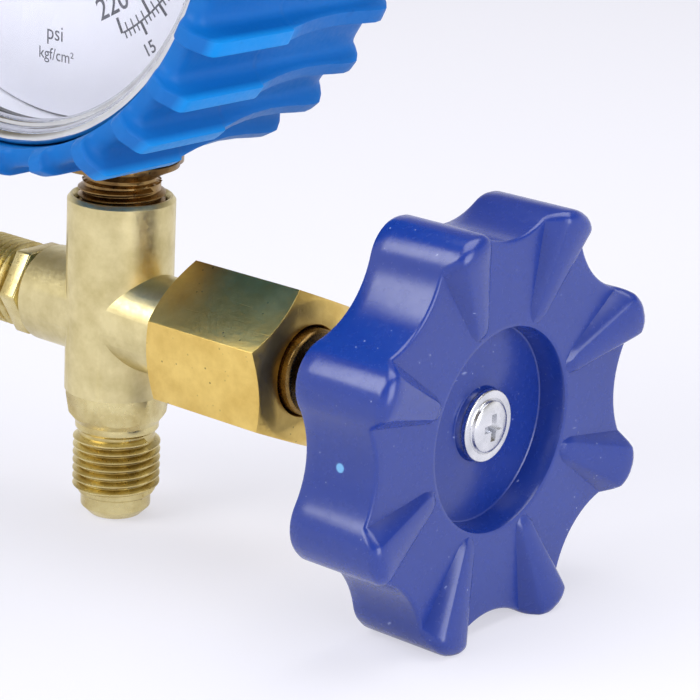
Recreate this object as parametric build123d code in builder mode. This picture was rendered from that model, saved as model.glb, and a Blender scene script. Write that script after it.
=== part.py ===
"""Single-gauge refrigerant valve: brass cross body, multi-turn valve with a lobed handwheel, booted gauge."""
import os
from math import cos, radians, sin, sqrt

from build123d import *

os.makedirs("parts", exist_ok=True)

# Millimetres. The origin is the centre of the lower flare's nose end, +X runs along the valve stem to
# the handwheel, the dial faces -Y and +Z is up.
CLEAR = 0.05                 # radial clearance between fitted pieces that don't move
RUN = 0.08                   # radial running clearance of turning or sliding pieces

# Brass cross body
AXIS_Z = 26.5                # height of the valve stem's axis
BODY_R = 6.75                # upright barrel
BODY_TOP = AXIS_Z + 15.3
BODY_BASE = AXIS_Z - 11.3
LEFT_R, LEFT_X = 6.2, -11.8  # side branch of the hose port
RIGHT_R, RIGHT_X = 6.25, 13.0
WAY_R = 2.2                  # gas ways through the body
CHAMBER_R = 4.1              # chamber of the seat disc
SEAT_X = -3.5                # face of the raised seat
SEAT_R = 2.9
SPIGOT_R, SPIGOT_X = 5.0, 17.4

# Quarter inch SAE flare ends: 7/16-20 thread
FLARE_R = 11.113 / 2
NOSE_R = 4.45
NOSE_END_R = 3.3
NOSE_BORE = 2.4
FLARE_HEX = 11.11
SOCKET_R, SOCKET_DEEP = 4.6, 4.0

# Hexagonal bonnet and packing
HEX_AF = 17.5
BONNET_X0, BONNET_X1 = 13.05, 31.5
HEX_RING_R, HEX_CHAMFER = 8.5, 0.9
THREAD_R = 3.0               # M6 stem thread
SHANK_R = 2.5
GASKET_T = 0.8
STUFF_X, STUFF_R = 25.2, 4.4
WASHER_T = 0.7
PACKING_T = 2.1
GLAND_X, GLAND_R = 28.3, 5.3
GLAND_END = 32.9

# Valve stem and seat disc: three turns of 1 mm lead
DISC_R, DISC_T = 3.4, 2.4
DISC_X = SEAT_X + 0.04
BUTTON_R, BUTTON_T = 1.9, 0.9
NECK_R = 1.2
DRIVE_X = 42.0               # start of the squared end
DRIVE_AF = 4.0

# Handwheel, eight lobes
WHEEL_X0, WHEEL_X1 = 50.0, 60.2
LOBES = 8
TIP_R = 26.0
LOBE_R, LOBE_C = 4.7, 21.3
VALLEY_R, VALLEY_C = 11.0, 33.1
RIDGE_TOP = 63.1
RIDGE_START = 12.8
RIDGE_W, RIDGE_WALL = 3.95, 1.5
WALL = 2.4
RECESS_R = 11.8
BOSS_R, BOSS_X = 4.1, 57.5
HUB_R, HUB_X = 7.0, 37.6

# Gauge: 68 mm case with a bottom stem
CASE_R, CASE_T = 33.0, 0.8
CASE_FRONT, CASE_BACK = -16.3, 7.0
SADDLE_Z = BODY_TOP + 4.0
SADDLE_H = 6.7               # from the saddle's foot up to the case
DIAL_Z = SADDLE_Z + SADDLE_H + CASE_R
DIAL_Y, DIAL_T, DIAL_GAP = -11.6, 0.6, 0.3
DIAL_R = CASE_R - CASE_T - DIAL_GAP
LENS_T = 1.6
GASKET_RUBBER = 0.8
LENS_BACK = CASE_FRONT - GASKET_RUBBER
LENS_FRONT = LENS_BACK - LENS_T
BEZEL_T, BEZEL_LAP = 0.8, 2.0   # skirt round the case and overlap on the lens
BEZEL_R = CASE_R + BEZEL_T
BEZEL_EYE = CASE_R - BEZEL_LAP
BEZEL_END = CASE_FRONT + 2.3
STEM_NECK = 4.4
THROAT_R = 5.0               # neck of the socket through the case's wall
SADDLE_R = 7.1
SADDLE_X, SADDLE_Y = 5.6, 8.5   # half width and half length of the saddle

# Rubber boot
LIP_R, LIP_Y = BEZEL_R + 0.2, LENS_FRONT - 3.9
BOOT_WALL = 3.2
BOOT_R = CASE_R + BOOT_WALL
RIB_H, RIBS = 3.1, 30
RIB_R = BOOT_R + RIB_H
LOW_RIB_R = BOOT_R + 1.2     # the ribs beside the stem are lower
FIRST_RIB = 27.9             # degrees from the bottom of the case
RIB_Y = LIP_Y - 1.8
PARTING_Y = -9.6
BOOT_BACK = CASE_BACK + 2.0
BOOT_EYE = CASE_R - 6.0      # opening at the back
BOOT_CLEAR = 0.1

# Gauge movement: 70-tooth module 0.3 sector on a 10-tooth pinion
MODULE = 0.3
PINION_TEETH, SECTOR_TEETH = 10, 70
PINION_R = PINION_TEETH * MODULE / 2
SECTOR_R = SECTOR_TEETH * MODULE / 2
TOOTH_H = 0.25
CENTRES = PINION_R + SECTOR_R
ARBOR_R = 0.6
TAIL_R = 6.5
TAIL_ANGLE = -110.0
PLATE_T = 1.0
FRONT_PLATE_Y = -9.9         # front faces of the two movement plates
BACK_PLATE_Y = -5.2
SECTOR_Y, SECTOR_T = -7.6, 0.8
TUBE_ROOM = 7.2              # between the tube and the case, for the movement's screws
TUBE_R = CASE_R - CASE_T - TUBE_ROOM
TUBE_THICK, TUBE_WIDE = 2.2, 7.0
BLOCK_X = 7.5
BLOCK_FOOT = CASE_T + 1.0 - CASE_R   # ends of the inner block, from the gauge's centre
BLOCK_TOP = 6.5 - TUBE_R
SCREW_X = 5.0
CASE_SCREWS = ((-SCREW_X, 3.9 - TUBE_R), (SCREW_X, 3.9 - TUBE_R))
PLATE_SCREWS = ((-SCREW_X, -3.7 - TUBE_R), (SCREW_X, -3.7 - TUBE_R))
BLOCK_FRONT = BACK_PLATE_Y + PLATE_T

valve_axis = Axis((0, 0, AXIS_Z), (1, 0, 0))
gauge_axis = Axis((0, 0, DIAL_Z), (0, 1, 0))


def across(x):
    """Plane square to the valve stem at x: drawn as (Y, Z) about the stem."""
    return Plane(origin=(x, 0, AXIS_Z), x_dir=(0, 1, 0), z_dir=(1, 0, 0))


def facing(y):
    """Plane parallel to the dial at depth y, drawn as seen from the front about the gauge's centre."""
    return Plane(origin=(0, y, DIAL_Z), x_dir=(1, 0, 0), z_dir=(0, -1, 0))


def polar(radius, angle):
    """Point at a radius and an angle in degrees."""
    return (radius * cos(radians(angle)), radius * sin(radians(angle)))


def turned(out, side, angle):
    """Point out along a direction and side off it, that direction being at an angle in degrees."""
    return (out * cos(radians(angle)) - side * sin(radians(angle)),
            out * sin(radians(angle)) + side * cos(radians(angle)))


# ------------------------------------------------------------------ cross body
# Turned from brass bar: an upright barrel with two side branches, bored for the gas ways, the seat
# and the spigot that the bonnet screws on.
GAUGE_SOCKET_R = FLARE_R + CLEAR
GAUGE_SOCKET_Z = BODY_TOP - 9.0
with BuildPart() as cross_body:
    with BuildSketch(Plane.XZ):
        with BuildLine():
            Polyline((0, BODY_BASE), (BODY_R - 0.5, BODY_BASE), (BODY_R, BODY_BASE + 0.9),
                     (BODY_R, BODY_TOP - 0.5), (BODY_R - 0.4, BODY_TOP), (0, BODY_TOP), close=True)
        make_face()
    revolve(axis=Axis.Z)
    with BuildSketch(Plane.XZ):
        with BuildLine():
            Polyline((LEFT_X, AXIS_Z), (LEFT_X, AXIS_Z + LEFT_R), (0, AXIS_Z + LEFT_R),
                     (0, AXIS_Z + RIGHT_R), (RIGHT_X, AXIS_Z + RIGHT_R), (RIGHT_X, AXIS_Z + SPIGOT_R),
                     (SPIGOT_X, AXIS_Z + SPIGOT_R), (SPIGOT_X, AXIS_Z), close=True)
        make_face()
    revolve(axis=valve_axis)
    # upright way: socket of the gauge above, socket of the flare below
    with BuildSketch(Plane.XZ):
        with BuildLine():
            Polyline((0, BODY_BASE), (SOCKET_R + CLEAR, BODY_BASE),
                     (SOCKET_R + CLEAR, BODY_BASE + SOCKET_DEEP), (WAY_R, BODY_BASE + SOCKET_DEEP),
                     (WAY_R, GAUGE_SOCKET_Z), (GAUGE_SOCKET_R, GAUGE_SOCKET_Z),
                     (GAUGE_SOCKET_R, BODY_TOP - 0.7), (GAUGE_SOCKET_R + 0.5, BODY_TOP),
                     (0, BODY_TOP), close=True)
        make_face()
    revolve(axis=Axis.Z, mode=Mode.SUBTRACT)
    # cross way: socket of the side flare, seat, and the disc's chamber out through the spigot
    with BuildSketch(Plane.XZ):
        with BuildLine():
            Polyline((LEFT_X, AXIS_Z), (LEFT_X, AXIS_Z + SOCKET_R + CLEAR),
                     (LEFT_X + SOCKET_DEEP, AXIS_Z + SOCKET_R + CLEAR), (LEFT_X + SOCKET_DEEP, AXIS_Z + WAY_R),
                     (SEAT_X, AXIS_Z + WAY_R), (SEAT_X, AXIS_Z + SEAT_R),
                     (SEAT_X - 0.6, AXIS_Z + SEAT_R + 0.2), (SEAT_X - 0.6, AXIS_Z + CHAMBER_R),
                     (SPIGOT_X, AXIS_Z + CHAMBER_R), (SPIGOT_X, AXIS_Z), close=True)
        make_face()
    revolve(axis=valve_axis, mode=Mode.SUBTRACT)
cross_body.part.label = "cross_body"
export_step(cross_body.part, "parts/cross_body.step")

# ------------------------------------------------------------------ lower flare connector
# Half union brazed into the barrel: spigot, hexagon, relief, thread and the 45 degree nose.
with BuildPart() as bottom_flare_connector:
    with BuildSketch(Plane.XZ):
        with BuildLine():
            Polyline((0, 0), (NOSE_END_R, 0), (NOSE_R, NOSE_R - NOSE_END_R), (NOSE_R, 2.7),
                     (FLARE_R, 2.7 + FLARE_R - NOSE_R), (FLARE_R, 11.3), (FLARE_R - 0.2, 11.6),
                     (FLARE_R - 0.2, 12.5), (SOCKET_R, 12.5), (SOCKET_R, BODY_BASE + SOCKET_DEEP - CLEAR),
                     (0, BODY_BASE + SOCKET_DEEP - CLEAR), close=True)
        make_face()
    revolve(axis=Axis.Z)
    with BuildSketch(Plane.XY.offset(12.5)):
        RegularPolygon(radius=FLARE_HEX / 2, side_count=6, major_radius=False, rotation=49)
    extrude(amount=BODY_BASE - CLEAR - 12.5)
    with BuildSketch(Plane.XZ):
        with BuildLine():
            Polyline((0, -1), (FLARE_HEX / 2 - 1.0, 11.0), (FLARE_HEX / 2 + 0.1, 12.5),
                     (FLARE_HEX / 2 + 1.0, 13.1), (FLARE_HEX / 2 + 1.0, 20.0), (0, 20.0), close=True)
        make_face()
        with BuildLine():
            Polyline((0, -1), (FLARE_R + 0.1, -1), (FLARE_R + 0.1, 12.6), (0, 12.6), close=True)
        make_face()
    revolve(axis=Axis.Z, mode=Mode.INTERSECT)
    with BuildSketch(Plane.XY):
        Circle(NOSE_BORE)
    extrude(amount=BODY_BASE + SOCKET_DEEP, mode=Mode.SUBTRACT)
bottom_flare_connector.part.label = "bottom_flare_connector"
export_step(bottom_flare_connector.part, "parts/bottom_flare_connector.step")

# ------------------------------------------------------------------ side flare connector
# The hose port: brazed spigot, coned shoulder, neck, thread and nose.
FLARE_END = -27.3
with BuildPart() as left_flare_connector:
    with BuildSketch(Plane.XZ):
        with BuildLine():
            Polyline((LEFT_X + SOCKET_DEEP - CLEAR, AXIS_Z), (LEFT_X + SOCKET_DEEP - CLEAR, AXIS_Z + SOCKET_R),
                     (LEFT_X - CLEAR, AXIS_Z + SOCKET_R), (LEFT_X - CLEAR, AXIS_Z + LEFT_R),
                     (-13.1, AXIS_Z + 5.0), (-15.3, AXIS_Z + 5.0), (-15.9, AXIS_Z + FLARE_R),
                     (-23.5, AXIS_Z + FLARE_R), (-24.6, AXIS_Z + NOSE_R),
                     (FLARE_END + 1.15, AXIS_Z + NOSE_R), (FLARE_END, AXIS_Z + NOSE_END_R),
                     (FLARE_END, AXIS_Z + NOSE_BORE), (LEFT_X + 2.0, AXIS_Z + NOSE_BORE),
                     (LEFT_X + 2.0, AXIS_Z), close=True)
        make_face()
    revolve(axis=valve_axis)
    with BuildSketch(across(LEFT_X + SOCKET_DEEP)):
        Circle(NOSE_BORE)
    extrude(amount=-6, mode=Mode.SUBTRACT)
left_flare_connector.part.label = "left_flare_connector"
export_step(left_flare_connector.part, "parts/left_flare_connector.step")

# ------------------------------------------------------------------ bonnet
# Hexagonal brass nut, chamfered at both ends: socket for the body's spigot, stem thread, stuffing box.
GASKET_X = SPIGOT_X + GASKET_T
HEX_CORNER = HEX_AF / sqrt(3)
with BuildPart() as hex_bonnet:
    with BuildSketch(across(BONNET_X0)):
        RegularPolygon(radius=HEX_AF / 2, side_count=6, major_radius=False, rotation=37.07)
    extrude(amount=BONNET_X1 - BONNET_X0)
    with BuildSketch(Plane.XZ):
        with BuildLine():
            Polyline((BONNET_X0, AXIS_Z), (BONNET_X0, AXIS_Z + HEX_RING_R),
                     (BONNET_X0 + HEX_CHAMFER, AXIS_Z + HEX_CORNER),
                     (BONNET_X1 - HEX_CHAMFER, AXIS_Z + HEX_CORNER),
                     (BONNET_X1, AXIS_Z + HEX_RING_R), (BONNET_X1, AXIS_Z), close=True)
        make_face()
    revolve(axis=valve_axis, mode=Mode.INTERSECT)
    with BuildSketch(Plane.XZ):
        with BuildLine():
            Polyline((BONNET_X0, AXIS_Z), (BONNET_X0, AXIS_Z + SPIGOT_R + CLEAR),
                     (GASKET_X, AXIS_Z + SPIGOT_R + CLEAR), (GASKET_X, AXIS_Z + THREAD_R + RUN),
                     (STUFF_X, AXIS_Z + THREAD_R + RUN), (STUFF_X, AXIS_Z + STUFF_R),
                     (GLAND_X, AXIS_Z + STUFF_R), (GLAND_X, AXIS_Z + GLAND_R + CLEAR),
                     (BONNET_X1 - 0.5, AXIS_Z + GLAND_R + CLEAR), (BONNET_X1, AXIS_Z + GLAND_R + 0.35),
                     (BONNET_X1, AXIS_Z), close=True)
        make_face()
    revolve(axis=valve_axis, mode=Mode.SUBTRACT)
hex_bonnet.part.label = "hex_bonnet"
export_step(hex_bonnet.part, "parts/hex_bonnet.step")

# Copper washer sealed between the spigot's end and the bonnet's shoulder.
with BuildPart() as bonnet_gasket:
    with BuildSketch(across(SPIGOT_X + 0.01)):
        Circle(SPIGOT_R)
        Circle(CHAMBER_R, mode=Mode.SUBTRACT)
    extrude(amount=GASKET_T - 0.02)
bonnet_gasket.part.label = "bonnet_gasket"
export_step(bonnet_gasket.part, "parts/bonnet_gasket.step")

# Brass washer at the bottom of the stuffing box.
with BuildPart() as packing_washer:
    with BuildSketch(across(STUFF_X + 0.02)):
        Circle(STUFF_R - CLEAR)
        Circle(SHANK_R + RUN, mode=Mode.SUBTRACT)
    extrude(amount=WASHER_T - 0.02)
packing_washer.part.label = "packing_washer"
export_step(packing_washer.part, "parts/packing_washer.step")

# Packing ring squeezed round the stem.
with BuildPart() as stem_packing:
    with BuildSketch(across(STUFF_X + WASHER_T + 0.02)):
        Circle(STUFF_R - CLEAR)
        Circle(SHANK_R + 0.03, mode=Mode.SUBTRACT)
    extrude(amount=PACKING_T - 0.04)
stem_packing.part.label = "stem_packing"
export_step(stem_packing.part, "parts/stem_packing.step")

# Gland nut: a nose that presses the packing, a thread in the bonnet and a round boss outside it.
with BuildPart() as gland_nut:
    with BuildSketch(Plane.XZ):
        with BuildLine():
            Polyline((STUFF_X + WASHER_T + PACKING_T, AXIS_Z + SHANK_R + RUN),
                     (STUFF_X + WASHER_T + PACKING_T, AXIS_Z + STUFF_R - CLEAR),
                     (GLAND_X + CLEAR, AXIS_Z + STUFF_R - CLEAR), (GLAND_X + CLEAR, AXIS_Z + GLAND_R),
                     (GLAND_END - 0.4, AXIS_Z + GLAND_R), (GLAND_END, AXIS_Z + GLAND_R - 0.3),
                     (GLAND_END, AXIS_Z + SHANK_R + 0.5), (GLAND_END - 0.6, AXIS_Z + SHANK_R + RUN),
                     close=True)
        make_face()
    revolve(axis=valve_axis)
gland_nut.part.label = "gland_nut"
export_step(gland_nut.part, "parts/gland_nut.step")

# ------------------------------------------------------------------ valve stem
# Steel stem: swivel button in the disc, back seat, thread, shank through the packing, squared end.
BUTTON_X = DISC_X + 0.9
NECK_X = BUTTON_X + BUTTON_T
COLLAR_X = DISC_X + DISC_T + 0.15
DRIVE_END = BOSS_X - 0.5
with BuildPart() as valve_spindle:
    with BuildSketch(Plane.XZ):
        with BuildLine():
            Polyline((BUTTON_X, AXIS_Z), (BUTTON_X, AXIS_Z + BUTTON_R), (NECK_X, AXIS_Z + BUTTON_R),
                     (NECK_X, AXIS_Z + NECK_R), (COLLAR_X, AXIS_Z + NECK_R), (COLLAR_X, AXIS_Z + DISC_R),
                     (COLLAR_X + 1.4, AXIS_Z + DISC_R), (COLLAR_X + 2.6, AXIS_Z + SHANK_R - 0.2),
                     (12.0, AXIS_Z + SHANK_R - 0.2), (12.6, AXIS_Z + THREAD_R), (21.6, AXIS_Z + THREAD_R),
                     (22.0, AXIS_Z + SHANK_R), (DRIVE_END - 0.3, AXIS_Z + SHANK_R),
                     (DRIVE_END, AXIS_Z + SHANK_R - 0.3), (DRIVE_END, AXIS_Z), close=True)
        make_face()
    revolve(axis=valve_axis)
    with BuildSketch(across(DRIVE_X)):
        Circle(SHANK_R + 1)
        Rectangle(DRIVE_AF, DRIVE_AF, mode=Mode.SUBTRACT)
    extrude(amount=DRIVE_END - DRIVE_X, mode=Mode.SUBTRACT)
    with BuildSketch(across(DRIVE_END)):
        Circle(1.5 + CLEAR)
    extrude(amount=-8.5, mode=Mode.SUBTRACT)
valve_spindle.part.label = "valve_spindle"
export_step(valve_spindle.part, "parts/valve_spindle.step")

# Seat disc: swivels on the stem's button, so that it doesn't turn on the seat.
with BuildPart() as seat_disc:
    with BuildSketch(Plane.XZ):
        with BuildLine():
            Polyline((DISC_X, AXIS_Z), (DISC_X, AXIS_Z + DISC_R), (DISC_X + DISC_T, AXIS_Z + DISC_R),
                     (DISC_X + DISC_T, AXIS_Z + NECK_R + 0.15), (NECK_X + 0.1, AXIS_Z + NECK_R + 0.15),
                     (NECK_X + 0.1, AXIS_Z + BUTTON_R + 0.12), (BUTTON_X - 0.02, AXIS_Z + BUTTON_R + 0.12),
                     (BUTTON_X - 0.02, AXIS_Z), close=True)
        make_face()
    revolve(axis=valve_axis)
seat_disc.part.label = "seat_disc"
export_step(seat_disc.part, "parts/seat_disc.step")

# ------------------------------------------------------------------ handwheel
# Moulded plastic wheel: lobes and valleys joined by tangent arcs, a roof-shaped ridge out along each
# lobe, a dished recess with a boss for the screw, and a back cored out between ribs.
RIDGE_H = RIDGE_TOP - WHEEL_X1
with BuildPart() as handwheel:
    with BuildSketch(across(WHEEL_X0)):
        Circle(TIP_R + 1)
    extrude(amount=WHEEL_X1 - WHEEL_X0)
    for k in range(LOBES):
        middle = 22.5 + 45 * k
        start = polar(RIDGE_START, middle)
        ridge_plane = Plane(origin=(WHEEL_X1, start[0], AXIS_Z + start[1]),
                            x_dir=(0, -sin(radians(middle)), cos(radians(middle))),
                            z_dir=(0, cos(radians(middle)), sin(radians(middle))))
        with BuildSketch(ridge_plane):
            with BuildLine():
                Polyline((-0.04, -0.02), (0.04, -0.02), (0.034, 0.015), (0, 0.03), (-0.034, 0.015), close=True)
            make_face()
        with BuildSketch(ridge_plane.offset(TIP_R - RIDGE_START)):
            with BuildLine():
                Polyline((-RIDGE_W, -0.02), (RIDGE_W, -0.02), (RIDGE_W - 0.5, RIDGE_WALL), (0, RIDGE_H),
                         (0.5 - RIDGE_W, RIDGE_WALL), close=True)
            make_face()
        loft()
    # lobed outline, cut straight through
    with BuildSketch(across(WHEEL_X0)) as outline:
        with BuildLine():
            reach = LOBE_R / (LOBE_R + VALLEY_R)
            ends = []
            for k in range(LOBES):
                middle = 22.5 + 45 * k
                lobe = polar(LOBE_C, middle)
                before = polar(VALLEY_C, middle - 22.5)
                after = polar(VALLEY_C, middle + 22.5)
                first = (lobe[0] + (before[0] - lobe[0]) * reach, lobe[1] + (before[1] - lobe[1]) * reach)
                last = (lobe[0] + (after[0] - lobe[0]) * reach, lobe[1] + (after[1] - lobe[1]) * reach)
                ThreePointArc(first, polar(TIP_R, middle), last)
                ends.append((first, last))
            for k in range(LOBES):
                valley = polar(VALLEY_C - VALLEY_R, 45 + 45 * k)
                ThreePointArc(ends[k][1], valley, ends[(k + 1) % LOBES][0])
        make_face()
    extrude(amount=RIDGE_TOP + 1 - WHEEL_X0, mode=Mode.INTERSECT)
    # rim rounded at the tips of the lobes, front and back
    with BuildSketch(Plane.XZ):
        with BuildLine():
            Polyline((WHEEL_X0, AXIS_Z), (WHEEL_X0, AXIS_Z + TIP_R - 1.0))
            RadiusArc((WHEEL_X0, AXIS_Z + TIP_R - 1.0), (WHEEL_X0 + 1.0, AXIS_Z + TIP_R), 1.0)
            Line((WHEEL_X0 + 1.0, AXIS_Z + TIP_R), (RIDGE_TOP - 2.2, AXIS_Z + TIP_R))
            RadiusArc((RIDGE_TOP - 2.2, AXIS_Z + TIP_R), (RIDGE_TOP - 0.2, AXIS_Z + TIP_R - 2.0), 2.0)
            Polyline((RIDGE_TOP - 0.2, AXIS_Z + TIP_R - 2.0), (RIDGE_TOP - 0.2, AXIS_Z), (WHEEL_X0, AXIS_Z))
        make_face()
    revolve(axis=valve_axis, mode=Mode.INTERSECT)
    # dished recess round the screw's boss
    with BuildSketch(Plane.XZ):
        with BuildLine():
            Polyline((WHEEL_X1, AXIS_Z), (WHEEL_X1, AXIS_Z + RECESS_R), (54.2, AXIS_Z + RECESS_R - 0.3),
                     (56.4, AXIS_Z + BOSS_R + 0.2), (BOSS_X, AXIS_Z + BOSS_R), (BOSS_X, AXIS_Z), close=True)
        make_face()
    revolve(axis=valve_axis, mode=Mode.SUBTRACT)
    # cored back: one pocket under each lobe, between ribs that run out to the valleys
    with BuildSketch(across(WHEEL_X0)):
        add(outline.sketch_local)
        offset(amount=-WALL, mode=Mode.REPLACE)
        Circle(RECESS_R + 1.7, mode=Mode.SUBTRACT)
        with PolarLocations(TIP_R / 2, LOBES):
            Rectangle(TIP_R, 1.6, mode=Mode.SUBTRACT)
    extrude(amount=7.6, mode=Mode.SUBTRACT)
    # hub behind the wheel, with the squared hole of the stem
    with BuildSketch(Plane.XZ):
        with BuildLine():
            Polyline((HUB_X, AXIS_Z), (HUB_X, AXIS_Z + HUB_R - 0.5), (HUB_X + 0.5, AXIS_Z + HUB_R),
                     (WHEEL_X0 + 1, AXIS_Z + HUB_R + 0.8), (WHEEL_X0 + 1, AXIS_Z), close=True)
        make_face()
    revolve(axis=valve_axis)
    with BuildSketch(across(HUB_X)):
        Circle(SHANK_R + CLEAR)
    extrude(amount=DRIVE_X - HUB_X, mode=Mode.SUBTRACT)
    with BuildSketch(across(DRIVE_X)):
        Circle(SHANK_R + CLEAR)
        Rectangle(DRIVE_AF + 2 * CLEAR, DRIVE_AF + 2 * CLEAR, mode=Mode.INTERSECT)
    extrude(amount=BOSS_X + 1 - DRIVE_X, mode=Mode.SUBTRACT)
handwheel.part.label = "handwheel"
export_step(handwheel.part, "parts/handwheel.step")

# Steel pan screw with its own washer flange, into the end of the stem.
with BuildPart() as handwheel_screw:
    with BuildSketch(Plane.XZ):
        with BuildLine():
            Polyline((DRIVE_END - 7.5, AXIS_Z), (DRIVE_END - 7.5, AXIS_Z + 1.5), (BOSS_X, AXIS_Z + 1.5),
                     (BOSS_X, AXIS_Z + 4.15), (BOSS_X + 0.15, AXIS_Z + 4.25), (BOSS_X + 0.77, AXIS_Z + 4.25),
                     (BOSS_X + 0.9, AXIS_Z + 3.3), (BOSS_X + 1.4, AXIS_Z + 3.2), (BOSS_X + 2.0, AXIS_Z + 2.6),
                     (BOSS_X + 2.4, AXIS_Z + 1.6), (BOSS_X + 2.5, AXIS_Z), close=True)
        make_face()
    revolve(axis=valve_axis)
handwheel_screw.part.label = "handwheel_screw"
export_step(handwheel_screw.part, "parts/handwheel_screw.step")

# ------------------------------------------------------------------ gauge socket
# One piece of brass: threaded stem, groove and flare, boat-shaped saddle under the case, and the block
# inside it that carries the Bourdon tube, the movement and the case screws.
with BuildPart() as gauge_socket:
    with BuildSketch(Plane.XY.offset(SADDLE_Z)):
        SlotOverall(2 * SADDLE_Y, 2 * SADDLE_X, rotation=90)
    extrude(amount=SADDLE_H + 2.3)
    with BuildSketch(facing(20)):
        Circle(CASE_R + CLEAR)
    extrude(amount=40, mode=Mode.SUBTRACT)
    with BuildSketch(Plane.XY.offset(SADDLE_Z)):
        Circle(THROAT_R)
    extrude(amount=SADDLE_H + 2.3)
    with BuildSketch(facing(CASE_BACK - CASE_T - 0.02)):
        with BuildLine():
            Polyline((-BLOCK_X, BLOCK_FOOT), (BLOCK_X, BLOCK_FOOT), (BLOCK_X, BLOCK_TOP - 1.5),
                     (BLOCK_X - 1.5, BLOCK_TOP), (1.5 - BLOCK_X, BLOCK_TOP),
                     (-BLOCK_X, BLOCK_TOP - 1.5), close=True)
        make_face()
    extrude(amount=CASE_BACK - CASE_T - 0.02 - BLOCK_FRONT)
    with BuildSketch(Plane.XZ):
        with BuildLine():
            Polyline((0, GAUGE_SOCKET_Z + 0.3), (FLARE_R - 0.4, GAUGE_SOCKET_Z + 0.3),
                     (FLARE_R, GAUGE_SOCKET_Z + 0.7), (FLARE_R, SADDLE_Z - 2.2), (STEM_NECK, SADDLE_Z - 1.9),
                     (STEM_NECK, SADDLE_Z - 1.5), (4.9, SADDLE_Z - 1.2), (5.4, SADDLE_Z - 0.9),
                     (SADDLE_R, SADDLE_Z - 0.1), (SADDLE_R, SADDLE_Z + 0.6),
                     (0, SADDLE_Z + 0.6), close=True)
        make_face()
    revolve(axis=Axis.Z)
    # gas way, the seat of the restrictor, and the tapped holes
    with BuildSketch(Plane.XY.offset(GAUGE_SOCKET_Z)):
        Circle(1.6)
    extrude(amount=DIAL_Z - TUBE_R - 0.5 - GAUGE_SOCKET_Z, mode=Mode.SUBTRACT)
    with BuildSketch(facing(TUBE_WIDE / 2 + CLEAR)):
        Circle(TUBE_R + TUBE_THICK / 2 + CLEAR)
        Circle(TUBE_R - TUBE_THICK / 2 - CLEAR, mode=Mode.SUBTRACT)
        with Locations((-BLOCK_X / 2 - 1.0, -TUBE_R)):
            Rectangle(BLOCK_X, 8, mode=Mode.INTERSECT)
    extrude(amount=TUBE_WIDE + 2 * CLEAR, mode=Mode.SUBTRACT)
    with BuildSketch(facing(CASE_BACK)):
        with Locations(*CASE_SCREWS):
            Circle(1.25 + CLEAR)
    extrude(amount=6.5, mode=Mode.SUBTRACT)
    with BuildSketch(facing(BLOCK_FRONT)):
        with Locations(*PLATE_SCREWS):
            Circle(0.8 + CLEAR)
    extrude(amount=-4.0, mode=Mode.SUBTRACT)
gauge_socket.part.label = "gauge_socket"
export_step(gauge_socket.part, "parts/gauge_socket.step")

# Brass plug in the gas way, with a fine hole that damps the pointer.
with BuildPart() as restrictor:
    with BuildSketch(Plane.XY.offset(37.0)):
        Circle(1.6 - 0.02)
        Circle(0.4, mode=Mode.SUBTRACT)
    extrude(amount=3.0)
restrictor.part.label = "restrictor"
export_step(restrictor.part, "parts/restrictor.step")

# ------------------------------------------------------------------ Bourdon tube
# Flattened bronze tube bent round the gauge's centre, brazed in the block; its free end is closed by
# the tip piece, whose tab stands behind the link.
TUBE_START = -97.35
TIP_END = -36.0
start = polar(TUBE_R, TUBE_START)
with BuildPart() as bourdon_tube:
    with BuildSketch(Plane(origin=(start[0], 0, DIAL_Z + start[1]), x_dir=(0, 1, 0),
                           z_dir=(sin(radians(TUBE_START)), 0, -cos(radians(TUBE_START))))):
        SlotOverall(TUBE_WIDE, TUBE_THICK)
        SlotOverall(TUBE_WIDE - 0.6, TUBE_THICK - 0.6, mode=Mode.SUBTRACT)
    revolve(axis=gauge_axis, revolution_arc=TUBE_START + 360 - TIP_END)
bourdon_tube.part.label = "bourdon_tube"
export_step(bourdon_tube.part, "parts/bourdon_tube.step")

LINK_FRONT, LINK_T = -6.45, 0.5
TAB_FRONT = LINK_FRONT + LINK_T + 0.35
TAB_Z = -16.7
with BuildPart() as tube_tip:
    with BuildSketch(facing(TUBE_WIDE / 2 + 0.3)):
        Circle(TUBE_R + TUBE_THICK / 2 + 0.4)
        Circle(TUBE_R - TUBE_THICK / 2 - 0.4, mode=Mode.SUBTRACT)
        with BuildLine():
            Polyline((0, 0), polar(40, TIP_END - 0.1), polar(40, TIP_END - 8), close=True)
        make_face(mode=Mode.INTERSECT)
    extrude(amount=TUBE_WIDE + 0.6)
    with BuildSketch(facing(TAB_FRONT + 1.0)):
        with Locations((TUBE_R - 7.4, TAB_Z)):
            RectangleRounded(6.4, 2.6, 1.0)
    extrude(amount=1.0)
    with BuildSketch(facing(TAB_FRONT + 1.0)):
        with Locations((TUBE_R - 6.1, TAB_Z)):
            Rectangle(2.4, 2.4)
    extrude(amount=-3.0)
tube_tip.part.label = "tube_tip"
export_step(tube_tip.part, "parts/tube_tip.step")

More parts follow.
